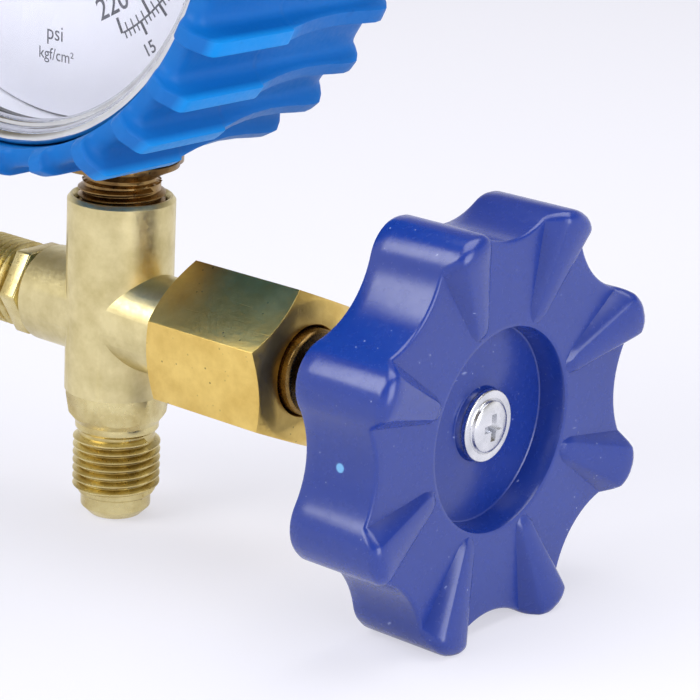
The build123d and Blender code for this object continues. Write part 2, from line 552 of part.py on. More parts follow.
# ------------------------------------------------------------------ gauge movement
# Two brass plates on four pillars. The sector and the pinion turn in holes through both plates.
PILLARS = ((-8.5, -20.0), (8.5, -20.0), (-6.5, 5.5), (6.5, 5.5))
DIAL_POSTS = ((-12.5, 0.0), (12.5, 0.0))
with BuildPart() as movement_back_plate:
    with BuildSketch(facing(BACK_PLATE_Y + PLATE_T)):
        with Locations((0, -7.5)):
            RectangleRounded(20.0, 29.0, 2.0)
        with Locations((0, -(TUBE_R + 25.0) / 2)):
            Rectangle(14.8, TUBE_R - 14.2)
        with Locations((0, 0), (0, -CENTRES)):
            Circle(ARBOR_R + 0.1 + RUN, mode=Mode.SUBTRACT)
        with Locations(*PLATE_SCREWS):
            Circle(0.8 + CLEAR, mode=Mode.SUBTRACT)
        with Locations(*PILLARS):
            Circle(0.7 + CLEAR, mode=Mode.SUBTRACT)
    extrude(amount=PLATE_T)
movement_back_plate.part.label = "movement_back_plate"
export_step(movement_back_plate.part, "parts/movement_back_plate.step")

with BuildPart() as movement_front_plate:
    with BuildSketch(facing(FRONT_PLATE_Y + PLATE_T)):
        with Locations((0, -7.5)):
            RectangleRounded(20.0, 29.0, 2.0)
        RectangleRounded(30.0, 5.0, 2.0)
        with Locations((0, 0), (0, -CENTRES)):
            Circle(ARBOR_R + 0.1 + RUN, mode=Mode.SUBTRACT)
        with Locations(*PILLARS):
            Circle(0.7 + CLEAR, mode=Mode.SUBTRACT)
    extrude(amount=PLATE_T)
    with BuildSketch(facing(FRONT_PLATE_Y)):
        with Locations(*DIAL_POSTS):
            Circle(1.8)
    extrude(amount=FRONT_PLATE_Y - DIAL_Y - DIAL_T)
    with BuildSketch(facing(FRONT_PLATE_Y + PLATE_T)):
        with Locations(*DIAL_POSTS):
            Circle(0.7 + CLEAR)
    extrude(amount=4, mode=Mode.SUBTRACT)
movement_front_plate.part.label = "movement_front_plate"
export_step(movement_front_plate.part, "parts/movement_front_plate.step")

with BuildPart() as plate_pillars:
    with BuildSketch(facing(BACK_PLATE_Y)):
        with Locations(*PILLARS):
            Circle(1.2)
    extrude(amount=BACK_PLATE_Y - FRONT_PLATE_Y - PLATE_T)
    with BuildSketch(facing(BACK_PLATE_Y + PLATE_T)):
        with Locations(*PILLARS):
            Circle(0.7)
    extrude(amount=BACK_PLATE_Y - FRONT_PLATE_Y + PLATE_T)
plate_pillars.part.label = "plate_pillars"
export_step(plate_pillars.part, "parts/plate_pillars.step")

with BuildPart() as movement_screws:
    with BuildSketch(facing(BACK_PLATE_Y)):
        with Locations(*PLATE_SCREWS):
            Circle(1.5)
    extrude(amount=0.9)
    with BuildSketch(facing(BACK_PLATE_Y + PLATE_T + 2.5)):
        with Locations(*PLATE_SCREWS):
            Circle(0.8)
    extrude(amount=PLATE_T + 2.6)
movement_screws.part.label = "movement_screws"
export_step(movement_screws.part, "parts/movement_screws.step")

# Toothed sector: an arc of thin teeth on two spokes, and a tail with a pin for the link.
TOOTH_STEP = 360 / SECTOR_TEETH
TEETH_CUT = 12
FIRST_TOOTH = 90 + TOOTH_STEP / 2 + TOOTH_STEP * (1 - TEETH_CUT + 1)
sector_centre = Plane(origin=(0, SECTOR_Y + SECTOR_T, DIAL_Z - CENTRES), x_dir=(1, 0, 0), z_dir=(0, -1, 0))
tail = polar(TAIL_R, TAIL_ANGLE)
with BuildPart() as sector_gear:
    with BuildSketch(sector_centre):
        Circle(SECTOR_R - TOOTH_H - 0.15)
        Circle(SECTOR_R - 2.0, mode=Mode.SUBTRACT)
        with BuildLine():
            Polyline((0, 0), polar(20, FIRST_TOOTH - 2.2), polar(20, 70),
                     polar(20, FIRST_TOOTH + TOOTH_STEP * (TEETH_CUT - 1) + 2.2), close=True)
        make_face(mode=Mode.INTERSECT)
        with PolarLocations(SECTOR_R - 0.1, TEETH_CUT, start_angle=FIRST_TOOTH,
                            angular_range=TOOTH_STEP * TEETH_CUT):
            Trapezoid(0.56, 2 * TOOTH_H + 0.15, 75, rotation=-90)
        Circle(2.0)
        with PolarLocations(SECTOR_R / 2, 2, start_angle=FIRST_TOOTH + 3, angular_range=96):
            Rectangle(SECTOR_R - 3.0, 1.3)
        with PolarLocations(TAIL_R / 2, 1, start_angle=TAIL_ANGLE):
            Rectangle(TAIL_R, 1.5)
        with Locations(tail):
            Circle(1.1)
        Circle(ARBOR_R + 0.01, mode=Mode.SUBTRACT)
    extrude(amount=SECTOR_T)
    with BuildSketch(sector_centre):
        with Locations(tail):
            Circle(0.45)
    extrude(amount=-(LINK_FRONT + LINK_T + 0.15 - SECTOR_Y - SECTOR_T))
sector_gear.part.label = "sector_gear"
export_step(sector_gear.part, "parts/sector_gear.step")

with BuildPart() as sector_arbor:
    with BuildSketch(Plane(origin=(0, BACK_PLATE_Y + PLATE_T - 0.1, DIAL_Z - CENTRES), x_dir=(1, 0, 0),
                           z_dir=(0, -1, 0))):
        Circle(ARBOR_R)
    extrude(amount=BACK_PLATE_Y - FRONT_PLATE_Y + PLATE_T - 0.2)
sector_arbor.part.label = "sector_arbor"
export_step(sector_arbor.part, "parts/sector_arbor.step")

# Link: turns on the tail's pin; its other eye stands in front of the tube tip's tab.
link_tail = (tail[0], tail[1] - CENTRES)
LINK_ANGLE = 4.5
LINK_LEN = TUBE_R - 7.1
with BuildPart() as link:
    with BuildSketch(Plane(origin=(link_tail[0], LINK_FRONT + LINK_T, DIAL_Z + link_tail[1]), x_dir=(1, 0, 0),
                           z_dir=(0, -1, 0))):
        with PolarLocations(LINK_LEN / 2, 1, start_angle=LINK_ANGLE):
            Rectangle(LINK_LEN, 1.0)
        with Locations((0, 0), polar(LINK_LEN, LINK_ANGLE)):
            Circle(1.0)
        Circle(0.45 + RUN, mode=Mode.SUBTRACT)
        with Locations(polar(LINK_LEN, LINK_ANGLE)):
            Circle(0.45 + RUN, mode=Mode.SUBTRACT)
    extrude(amount=LINK_T)
link.part.label = "link"
export_step(link.part, "parts/link.step")

# Pinion cut on the pointer's arbor, with the collet of the hairspring in front of it.
with BuildPart() as pinion_arbor:
    with BuildSketch(facing(BACK_PLATE_Y + PLATE_T - 0.1)):
        Circle(ARBOR_R)
    extrude(amount=BACK_PLATE_Y + PLATE_T - 0.1 + 13.3)
    with BuildSketch(facing(SECTOR_Y + SECTOR_T + 0.5)):
        Circle(PINION_R - TOOTH_H - 0.15)
        with PolarLocations(PINION_R - 0.1, PINION_TEETH, start_angle=-90):
            Trapezoid(0.46, 2 * TOOTH_H + 0.15, 78, rotation=-90)
    extrude(amount=SECTOR_T + 1.0)
    with BuildSketch(facing(-8.2)):
        Circle(1.15)
    extrude(amount=0.5)
pinion_arbor.part.label = "pinion_arbor"
export_step(pinion_arbor.part, "parts/pinion_arbor.step")

# Hairspring: a flat spiral between the collet and a stud under the front plate.
with BuildPart() as hairspring:
    with BuildSketch(facing(-8.25)):
        with BuildLine():
            for k in range(4):
                inner = 1.5 + 0.8 * k
                ThreePointArc((inner, 0), (0, inner), (-inner, 0))
                ThreePointArc((-inner, 0), (0.4, -inner - 0.4), (inner + 0.8, 0))
        trace(line_width=0.14)
        with Locations((4.7, 0.3)):
            Rectangle(0.9, 0.9)
    extrude(amount=0.4)
    with BuildSketch(facing(-8.25)):
        with Locations((4.7, 0.3)):
            Rectangle(0.9, 0.9)
    extrude(amount=0.64)
hairspring.part.label = "hairspring"
export_step(hairspring.part, "parts/hairspring.step")

# ------------------------------------------------------------------ pointer and dial
# The pointer rests at zero; clockwise from the front is rising pressure.
ZERO_ANGLE = -137.1
with BuildPart() as pointer:
    with BuildSketch(facing(-12.5)):
        with BuildLine():
            Polyline(polar(DIAL_R - 8.9, ZERO_ANGLE), polar(1.6, ZERO_ANGLE + 60), polar(9.0, ZERO_ANGLE + 174),
                     polar(9.0, ZERO_ANGLE - 174), polar(1.6, ZERO_ANGLE - 60), close=True)
        make_face()
        Circle(2.6)
        Circle(ARBOR_R + 0.01, mode=Mode.SUBTRACT)
    extrude(amount=0.4)
    with BuildSketch(facing(-12.1)):
        Circle(1.7)
        Circle(ARBOR_R + 0.01, mode=Mode.SUBTRACT)
    extrude(amount=1.1)
pointer.part.label = "pointer"
export_step(pointer.part, "parts/pointer.step")

STOP = polar(12.0, ZERO_ANGLE + 25.3)
with BuildPart() as dial_plate:
    with BuildSketch(facing(DIAL_Y + DIAL_T)):
        Circle(DIAL_R)
        Circle(1.3, mode=Mode.SUBTRACT)
        with Locations(*DIAL_POSTS):
            Circle(0.7 + CLEAR, mode=Mode.SUBTRACT)
        with Locations(STOP):
            Circle(0.5 + 0.01, mode=Mode.SUBTRACT)
    extrude(amount=DIAL_T)
dial_plate.part.label = "dial_plate"
export_step(dial_plate.part, "parts/dial_plate.step")

with BuildPart() as dial_screws:
    with BuildSketch(facing(DIAL_Y)):
        with Locations(*DIAL_POSTS):
            Circle(1.3)
    extrude(amount=0.6)
    with BuildSketch(facing(DIAL_Y + 2.5)):
        with Locations(*DIAL_POSTS):
            Circle(0.7)
    extrude(amount=2.6)
dial_screws.part.label = "dial_screws"
export_step(dial_screws.part, "parts/dial_screws.step")

with BuildPart() as pointer_stop:
    with BuildSketch(facing(DIAL_Y + DIAL_T + 0.2)):
        with Locations(STOP):
            Circle(0.5)
    extrude(amount=DIAL_T + 1.6)
pointer_stop.part.label = "pointer_stop"
export_step(pointer_stop.part, "parts/pointer_stop.step")

# ------------------------------------------------------------------ case, lens and bezel
with BuildPart() as gauge_case:
    with BuildSketch(Plane.YZ):
        with BuildLine():
            Polyline((CASE_FRONT, DIAL_Z + CASE_R - CASE_T), (CASE_FRONT, DIAL_Z + CASE_R),
                     (CASE_BACK - 1.2, DIAL_Z + CASE_R), (CASE_BACK, DIAL_Z + CASE_R - 1.2),
                     (CASE_BACK, DIAL_Z),
                     (CASE_BACK - CASE_T, DIAL_Z), (CASE_BACK - CASE_T, DIAL_Z + CASE_R - CASE_T), close=True)
        make_face()
    revolve(axis=gauge_axis)
    with BuildSketch(Plane.XY.offset(DIAL_Z - CASE_R - 2.5)):
        Circle(THROAT_R + CLEAR)
    extrude(amount=6.0, mode=Mode.SUBTRACT)
    with BuildSketch(facing(CASE_BACK)):
        with Locations(*CASE_SCREWS):
            Circle(1.25 + CLEAR)
    extrude(amount=CASE_T, mode=Mode.SUBTRACT)
gauge_case.part.label = "gauge_case"
export_step(gauge_case.part, "parts/gauge_case.step")

with BuildPart() as case_screws:
    with BuildSketch(facing(CASE_BACK + 1.2)):
        with Locations(*CASE_SCREWS):
            Circle(2.2)
    extrude(amount=1.2)
    with BuildSketch(facing(CASE_BACK)):
        with Locations(*CASE_SCREWS):
            Circle(1.25)
    extrude(amount=6.0)
case_screws.part.label = "case_screws"
export_step(case_screws.part, "parts/case_screws.step")

with BuildPart() as lens_gasket:
    with BuildSketch(facing(CASE_FRONT - 0.01)):
        Circle(CASE_R)
        Circle(CASE_R - 1.5, mode=Mode.SUBTRACT)
    extrude(amount=GASKET_RUBBER - 0.02)
lens_gasket.part.label = "lens_gasket"
export_step(lens_gasket.part, "parts/lens_gasket.step")

with BuildPart() as lens:
    with BuildSketch(facing(LENS_BACK)):
        Circle(CASE_R)
    extrude(amount=LENS_T)
lens.part.label = "lens"
export_step(lens.part, "parts/lens.step")

# Chrome ring spun from sheet: rolled steps in front of the lens and a skirt round the case.
with BuildPart() as bezel_ring:
    with BuildSketch(Plane.YZ):
        with BuildLine():
            Polyline((LENS_FRONT - 0.02, DIAL_Z + BEZEL_EYE), (LENS_FRONT - 0.8, DIAL_Z + BEZEL_EYE),
                     (LENS_FRONT - 1.2, DIAL_Z + BEZEL_R - 2.5), (LENS_FRONT - 1.2, DIAL_Z + BEZEL_R - 2.0),
                     (LENS_FRONT - 2.2, DIAL_Z + BEZEL_R - 1.6), (LENS_FRONT - 2.9, DIAL_Z + BEZEL_R - 1.0),
                     (LENS_FRONT - 2.9, DIAL_Z + BEZEL_R - 0.5), (LENS_FRONT - 2.3, DIAL_Z + BEZEL_R),
                     (BEZEL_END, DIAL_Z + BEZEL_R), (BEZEL_END, DIAL_Z + CASE_R + CLEAR),
                     (LENS_FRONT - 0.02, DIAL_Z + CASE_R + CLEAR), close=True)
        make_face()
    revolve(axis=gauge_axis)
bezel_ring.part.label = "bezel_ring"
export_step(bezel_ring.part, "parts/bezel_ring.step")

# ------------------------------------------------------------------ rubber boot
# Moulded boot stretched over the case: thirty ribs with chamfered fronts, thinner behind the mould's
# parting line, an open back and a slot for the saddle.
RIB_STEP = 360 / RIBS
with BuildPart() as gauge_boot:
    with BuildSketch(facing(BOOT_BACK)):
        Circle(BOOT_R - 1.0)
        for k in range(RIBS):
            from_bottom = (FIRST_RIB + RIB_STEP * k + 180) % 360 - 180
            crest = LOW_RIB_R if abs(from_bottom) < 20 else RIB_R
            rise = crest - BOOT_R
            section = ((BOOT_R - 1.5, -2.6), (BOOT_R - 0.1, -2.2), (BOOT_R + 0.25 * rise, -1.55),
                       (BOOT_R + 0.85 * rise, -1.15), (crest, -0.7), (crest, 0.7), (BOOT_R + 0.85 * rise, 1.15),
                       (BOOT_R + 0.25 * rise, 1.55), (BOOT_R - 0.1, 2.2), (BOOT_R - 1.5, 2.6))
            with BuildLine():
                Polyline(*[turned(out, side, from_bottom - 90) for out, side in section], close=True)
            make_face()
    extrude(amount=BOOT_BACK + 30)
    with BuildSketch(Plane.YZ):
        with BuildLine():
            Polyline((BOOT_BACK, DIAL_Z), (BOOT_BACK, DIAL_Z + RIB_R - 2.9),
                     (BOOT_BACK - 1.6, DIAL_Z + RIB_R - 1.1), (BOOT_BACK - 3.0, DIAL_Z + RIB_R - 1.0),
                     (BOOT_BACK - 7.0, DIAL_Z + RIB_R - 1.6),
                     (PARTING_Y + 5.6, DIAL_Z + RIB_R - 1.5), (PARTING_Y, DIAL_Z + RIB_R),
                     (RIB_Y + 1.6, DIAL_Z + RIB_R), (RIB_Y + 0.6, DIAL_Z + RIB_R - 0.6),
                     (RIB_Y, DIAL_Z + RIB_R - 2.1), (RIB_Y, DIAL_Z + RIB_R - 3.5),
                     (RIB_Y + 0.7, DIAL_Z + LIP_R + 0.5),
                     (LIP_Y, DIAL_Z + LIP_R), (LIP_Y, DIAL_Z), close=True)
        make_face()
    revolve(axis=gauge_axis, mode=Mode.INTERSECT)
    with BuildSketch(Plane.YZ):
        with BuildLine():
            Polyline((BOOT_BACK, DIAL_Z + BOOT_EYE), (BOOT_BACK, DIAL_Z + BOOT_R - 1.0),
                     (BOOT_BACK - 1.0, DIAL_Z + BOOT_R), (LIP_Y + 0.7, DIAL_Z + BOOT_R),
                     (LIP_Y, DIAL_Z + BOOT_R - 0.7), (LIP_Y, DIAL_Z + LIP_R),
                     (BEZEL_END + BOOT_CLEAR, DIAL_Z + BEZEL_R + CLEAR),
                     (BEZEL_END + BOOT_CLEAR, DIAL_Z + CASE_R + BOOT_CLEAR),
                     (CASE_BACK + CLEAR, DIAL_Z + CASE_R + BOOT_CLEAR),
                     (CASE_BACK + CLEAR, DIAL_Z + BOOT_EYE), close=True)
        make_face()
    revolve(axis=gauge_axis)
    with BuildSketch(Plane.YZ):
        with BuildLine():
            Polyline((BOOT_BACK, DIAL_Z), (BOOT_BACK, DIAL_Z + BOOT_EYE),
                     (CASE_BACK + CLEAR, DIAL_Z + BOOT_EYE), (CASE_BACK + CLEAR, DIAL_Z + CASE_R + BOOT_CLEAR),
                     (BEZEL_END + BOOT_CLEAR, DIAL_Z + CASE_R + BOOT_CLEAR),
                     (BEZEL_END + BOOT_CLEAR, DIAL_Z + BEZEL_R + CLEAR), (LIP_Y, DIAL_Z + LIP_R),
                     (RIB_Y - 1, DIAL_Z + LIP_R),
                     (RIB_Y - 1, DIAL_Z), close=True)
        make_face()
    revolve(axis=gauge_axis, mode=Mode.SUBTRACT)
    with BuildSketch(Plane.XY.offset(SADDLE_Z - 1)):
        SlotOverall(2 * SADDLE_Y + 0.4, 2 * SADDLE_X + 0.4, rotation=90)
    extrude(amount=10, mode=Mode.SUBTRACT)
gauge_boot.part.label = "gauge_boot"
export_step(gauge_boot.part, "parts/gauge_boot.step")
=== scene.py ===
"""Looks of the refrigerant manifold gauge: studio, camera, materials and finely modelled outer pieces."""

import math

import bmesh
import bpy
from mathutils import Euler, Matrix, Quaternion, Vector


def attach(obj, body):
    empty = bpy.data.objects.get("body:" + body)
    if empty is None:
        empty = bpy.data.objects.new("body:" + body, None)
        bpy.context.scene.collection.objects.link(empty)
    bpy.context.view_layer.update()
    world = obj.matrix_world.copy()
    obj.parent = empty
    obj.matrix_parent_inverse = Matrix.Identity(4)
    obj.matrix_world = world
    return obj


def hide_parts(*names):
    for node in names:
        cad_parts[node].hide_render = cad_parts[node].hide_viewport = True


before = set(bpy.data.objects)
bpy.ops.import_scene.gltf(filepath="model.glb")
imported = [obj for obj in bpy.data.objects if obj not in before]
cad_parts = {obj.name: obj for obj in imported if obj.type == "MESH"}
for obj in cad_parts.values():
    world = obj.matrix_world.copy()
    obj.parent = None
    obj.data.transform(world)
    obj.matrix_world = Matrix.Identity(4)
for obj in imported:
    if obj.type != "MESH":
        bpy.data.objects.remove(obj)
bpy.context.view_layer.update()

# ---------------------------------------------------------------- studio
# A pale sweep under the object, tilted as the table is when the valve rests on its flare and wheel.
# Seamless paper, matt and almost white.
MM = 0.001
AXIS_Z = 26.5 * MM    # height of the stem, the wheel and the hose port
DIAL_Z = 85.5 * MM    # height of the gauge's middle
TABLE_TILT = math.radians(-2.57)


def linear(code):
    """sRGB hex colour as linear RGBA."""
    channels = [int(code[i:i + 2], 16) / 255 for i in (1, 3, 5)]
    return [c / 12.92 if c <= 0.04045 else ((c + 0.055) / 1.055) ** 2.4 for c in channels] + [1.0]


def plug(tree, node, **links):
    """Sets sockets of a node, by name (_ for a space) or as i0, i1, to a value or another socket."""
    for name, value in links.items():
        numbered = name[0] == "i" and name[1:].isdigit()
        socket = node.inputs[int(name[1:]) if numbered else name.replace("_", " ")]
        if isinstance(value, bpy.types.NodeSocket):
            tree.links.new(value, socket)
        else:
            socket.default_value = value


def add_node(tree, kind, settings=None, **links):
    """Adds a shader node; settings sets its fields, links its sockets."""
    made = tree.nodes.new(kind)
    for name, value in (settings or {}).items():
        setattr(made, name, value)
    plug(tree, made, **links)
    return made


def maths(tree, operation, first, second):
    """One operation on two values."""
    return add_node(tree, "ShaderNodeMath", {"operation": operation}, i0=first, i1=second).outputs[0]


def ramp(tree, value, start, end, low=0.0, high=1.0):
    """Goes from low to high while value goes from start to end, and stays level beyond them."""
    return add_node(tree, "ShaderNodeMapRange", i0=value, i1=start, i2=end, i3=low, i4=high).outputs[0]


def blend(tree, factor, first, second):
    """Goes from the first colour to the second; each is a hex code or another socket."""
    first, second = (linear(tone) if isinstance(tone, str) else tone for tone in (first, second))
    mixed = add_node(tree, "ShaderNodeMix", {"data_type": "RGBA"}, Factor=factor, i6=first, i7=second)
    return mixed.outputs[2]


def noise(tree, place, size, detail, roughness=0.5):
    """Clouds about size mm wide, from 0 to 1; roughness is the weight of their finer detail."""
    return add_node(tree, "ShaderNodeTexNoise", Vector=place, Scale=1 / (size * MM), Detail=detail,
                    Roughness=roughness).outputs["Fac"]


def background_ray(tree):
    """1 for the rays that show the backdrop as it is: seen straight, mirrored or through glass."""
    path = add_node(tree, "ShaderNodeLightPath").outputs
    mirrored = maths(tree, "MAXIMUM", path["Is Camera Ray"], path["Is Glossy Ray"])
    return maths(tree, "MAXIMUM", mirrored, path["Is Transmission Ray"])


def new_material(name):
    """A material with its Principled shader alone; gives it, its tree, the shader and object places."""
    made = bpy.data.materials.new(name)
    made.use_nodes = True
    tree = made.node_tree
    place = add_node(tree, "ShaderNodeTexCoord").outputs["Object"]
    return made, tree, tree.nodes["Principled BSDF"], place


paper, tree, shader, place = new_material("studio_paper")
# An even cool white; the faint noise keeps the sweep from looking like a void.
tint = blend(tree, noise(tree, place, 1000 / 6, 2.0), "#f3f2f8", "#f6f5fb")
plug(tree, shader, Base_Color=tint, Roughness=0.9, Specular_IOR_Level=0.1)
pale = add_node(tree, "ShaderNodeEmission", Color=linear("#eeedf5"), Strength=1.0)
share = maths(tree, "MULTIPLY", background_ray(tree), 0.66)
lifted = add_node(tree, "ShaderNodeMixShader", i0=share, i1=shader.outputs[0], i2=pale.outputs[0])
plug(tree, tree.nodes["Material Output"], Surface=lifted.outputs[0])

bpy.ops.mesh.primitive_plane_add(size=3.0)
floor = bpy.context.active_object
floor.name = "studio_floor"
floor.rotation_euler = (0, TABLE_TILT, 0)
floor.location = (3.3 * MM, 0, -0.05 * MM)
floor.data.materials.append(paper)

world = bpy.data.worlds.new("studio")
bpy.context.scene.world = world
world.use_nodes = True
sky = world.node_tree
ground = sky.nodes["Background"]
plug(sky, ground, Color=linear("#e4e8f2"), Strength=0.45)
# The white sweep ends overhead, where the unlit ceiling begins.
toward = add_node(sky, "ShaderNodeSeparateXYZ", i0=add_node(sky, "ShaderNodeTexCoord").outputs["Object"])
sweep = blend(sky, ramp(sky, toward.outputs["Z"], 0.2, 0.55), "#fbfafe", "#8a8376")
white = add_node(sky, "ShaderNodeBackground", Color=sweep, Strength=1.0)
backdrop = add_node(sky, "ShaderNodeMixShader", i0=background_ray(sky), i1=ground.outputs[0],
                    i2=white.outputs[0])
plug(sky, sky.nodes["World Output"], Surface=backdrop.outputs[0])


def softbox(name, place, aim, size, power, colour="#ffffff"):
    """Rectangular area lamp at place, turned to aim."""
    bpy.ops.object.light_add(type="AREA", location=place)
    lamp = bpy.context.active_object
    lamp.name = name
    lamp.data.shape = "RECTANGLE"
    lamp.data.size, lamp.data.size_y = size
    lamp.data.energy = power
    lamp.data.color = linear(colour)[:3]
    lamp.rotation_euler = (Vector(aim) - Vector(place)).to_track_quat("-Z", "Y").to_euler()


softbox("key_left", (-0.25, -0.55, 0.55), (0.02, 0, 0.03), (0.5, 0.5), 4.2)
softbox("top", (0.10, 0.10, 0.85), (0.02, 0, 0.03), (0.7, 0.7), 5.0)
softbox("fill_right", (0.75, -0.15, 0.30), (0.03, 0, 0.03), (0.5, 0.6), 4.0, "#f4f6ff")

# ---------------------------------------------------------------- camera
# A 140 mm lens a third of a metre away, a little above the valve and to its right.
CAMERA = Vector((229.995, -234.533, 126.584)) * MM
AZIMUTH, HEIGHT, ROLL = math.radians(39.361), math.radians(17.568), math.radians(2.746)
bpy.ops.object.camera_add(location=CAMERA)
camera = bpy.context.active_object
camera.name = "camera"
camera.data.sensor_width = 36.0
camera.data.lens = 140.47
camera.data.clip_start = 0.01
turn = Euler((math.radians(90) - HEIGHT, 0, AZIMUTH)).to_quaternion() @ Quaternion((0, 0, 1), ROLL)
camera.rotation_euler = turn.to_euler()
bpy.context.scene.camera = camera
bpy.context.scene.view_settings.view_transform = "Standard"


# ---------------------------------------------------------------- brass cross body
# Turned from brass bar and left bare after tumbling: an upright barrel with two cross-drilled
# branches. Pale and satin, with faint marks along the barrel and a few scratches from handling.
WELD = 0.002 * MM    # vertices nearer than this become one


def alone(piece):
    """Selects piece and nothing else, and makes it active."""
    bpy.ops.object.select_all(action="DESELECT")
    piece.select_set(True)
    bpy.context.view_layer.objects.active = piece


def edit(*steps):
    """Runs edit-mode steps, each an operator with its settings, on the active object's whole mesh."""
    bpy.ops.object.mode_set(mode="EDIT")
    for step, settings in steps:
        bpy.ops.mesh.select_all(action="SELECT")
        step(**settings)
    bpy.ops.object.mode_set(mode="OBJECT")


def copy_of(node, name):
    """A merged copy of a CAD node's mesh as a piece of its own."""
    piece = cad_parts[node].copy()
    piece.data = piece.data.copy()
    piece.name = piece.data.name = name
    piece.parent = None
    piece.data.materials.clear()
    bpy.context.collection.objects.link(piece)
    alone(piece)
    edit((bpy.ops.mesh.remove_doubles, {"threshold": WELD}),
         (bpy.ops.mesh.dissolve_limited, {"angle_limit": math.radians(0.5)}))
    return piece


def round_edges(piece, width, segments=3, angle=35):
    """Rounds the piece's edges that are sharper than angle, by width in mm, and shades it smooth."""
    alone(piece)
    edge = piece.modifiers.new("edge", "BEVEL")
    edge.width = width * MM
    edge.segments = segments
    edge.limit_method = "ANGLE"
    edge.angle_limit = math.radians(angle)
    bpy.ops.object.modifier_apply(modifier=edge.name)
    bpy.ops.object.shade_smooth_by_angle(angle=math.radians(32))


def fit(piece, material, body_name, slot_name, *nodes):
    """Gives a piece its material, the body that it rides on and the CAD nodes it stands for; slot_name is not
    used.
    """
    piece.data.materials.clear()
    piece.data.materials.append(material)
    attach(piece, body_name)
    if nodes:
        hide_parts(*nodes)


def bare_metal(name, pale, deep, rough, grain, drawn=None, scratched=0.0, pitted=0.0, relief_depth=0.02):
    """Bare metal: two tones in patches of a few mm, a fine grain, drawn marks, scratches and pits."""
    made, tree, shader, place = new_material(name)
    patches = noise(tree, place, 5.0, 5.0, 0.6)
    surface = blend(tree, ramp(tree, patches, 0.36, 0.64), deep, pale)
    height = fine = noise(tree, place, grain, 3.0)
    if drawn:
        lines_place = add_node(tree, "ShaderNodeMapping", Vector=place, Scale=drawn).outputs[0]
        lines = noise(tree, lines_place, 0.35, 4.0, 0.7)
        height = add_node(tree, "ShaderNodeMix", {"data_type": "FLOAT"}, i0=0.6, i2=height, i3=lines)
        height = height.outputs[0]
    if pitted:
        cells = add_node(tree, "ShaderNodeTexVoronoi", Vector=place, Scale=1 / (1.1 * MM))
        pit = ramp(tree, cells.outputs["Distance"], 0.06, 0.16, pitted, 0.0)
        pit = maths(tree, "MULTIPLY", pit, ramp(tree, patches, 0.5, 0.58))
        height = maths(tree, "SUBTRACT", height, pit)
        surface = blend(tree, pit, surface, "#4a3a1c")
    if scratched:
        for turn, length in (((0.4, 0.2, 0.9), 2.4), ((1.1, 0.7, 0.1), 1.6)):
            way = add_node(tree, "ShaderNodeMapping", Vector=place, Rotation=turn, Scale=(0.06, 1, 1))
            hairs = noise(tree, way.outputs[0], length * 0.3, 2.0)
            height = maths(tree, "SUBTRACT", height, ramp(tree, hairs, 0.66, 0.70, 0.0, scratched))
    relief = add_node(tree, "ShaderNodeBump", Height=height, Strength=0.5, Distance=relief_depth * MM)
    plug(tree, shader, Metallic=1.0, Base_Color=surface, Normal=relief.outputs["Normal"],
         Roughness=ramp(tree, fine, 0.3, 0.7, rough - 0.05, rough + 0.08))
    return made


# Brass tumbled after turning: pale, satin, softly blotched.
tumbled_brass = bare_metal("tumbled_brass", "#e4d6a2", "#c9ba84", 0.34, 0.5, drawn=(1, 1, 0.15),
                           scratched=0.3)
cross_body = copy_of("cross_body", "brass_cross_body")
HEX_TOP = 16.7 * MM    # the body begins here, on the hexagon of the lower union
edit((bpy.ops.mesh.bisect, {"plane_co": (0, 0, HEX_TOP), "plane_no": (0, 0, -1), "clear_outer": True,
                            "use_fill": False}))
round_edges(cross_body, 0.22)
fit(cross_body, tumbled_brass, "valve", "brass", "cross_body")


# ---------------------------------------------------------------- flare connectors
# Turned brass half unions brazed into the body: a 45 degree nose, a 7/16-20 thread and a neck; the
# lower one has a small hexagon. Dull from handling.
THREAD_R, THREAD_CORE, PITCH = 5.556, 4.84, 1.06
# for each axis that pieces are turned round: its direction, a direction out from it, and its origin
AXES = {
    "X": (Vector((1, 0, 0)), Vector((0, 0, 1)), Vector((0, 0, AXIS_Z))),
    "Y": (Vector((0, 1, 0)), Vector((0, 0, 1)), Vector((0, 0, DIAL_Z))),
    "Z": (Vector((0, 0, 1)), Vector((1, 0, 0)), Vector((0, 0, 0))),
}


def drawn_line(name, points):
    """A line of edges through points, drawn vertex after vertex."""
    bpy.ops.mesh.primitive_plane_add(size=MM)
    line = bpy.context.active_object
    line.name = line.data.name = name
    bpy.ops.object.mode_set(mode="EDIT")
    bpy.ops.mesh.select_all(action="SELECT")
    bpy.ops.mesh.merge(type="CENTER")
    bpy.ops.transform.translate(value=points[0])
    for here, there in zip(points, points[1:]):
        bpy.ops.mesh.extrude_vertices_move(TRANSFORM_OT_translate={"value": there - here})
    bpy.ops.object.mode_set(mode="OBJECT")
    return line


def close_ends():
    """Fills the open ends of the active object's mesh."""
    bpy.ops.object.mode_set(mode="EDIT")
    bpy.ops.mesh.select_all(action="DESELECT")
    bpy.ops.mesh.select_non_manifold()
    bpy.ops.mesh.edge_face_add()
    bpy.ops.object.mode_set(mode="OBJECT")


def turned_line(name, axis, profile):
    """The line of a profile of (along, radius) in mm, drawn out from an axis of the object."""
    along, out, origin = AXES[axis]
    return drawn_line(name, [origin + along * a * MM + out * r * MM for a, r in profile])


def lathe(name, axis, profile, steps=96, edge=0.1):
    """A turned piece: a profile of (along, radius) in mm swept round an axis of the object."""
    along, _, origin = AXES[axis]
    piece = turned_line(name, axis, profile)
    edit((bpy.ops.mesh.spin, {"steps": steps, "angle": 2 * math.pi, "center": origin, "axis": along}),
         (bpy.ops.mesh.remove_doubles, {"threshold": WELD}),
         (bpy.ops.mesh.normals_make_consistent, {"inside": False}))
    if edge:
        round_edges(piece, edge, 2, 24)
    return piece


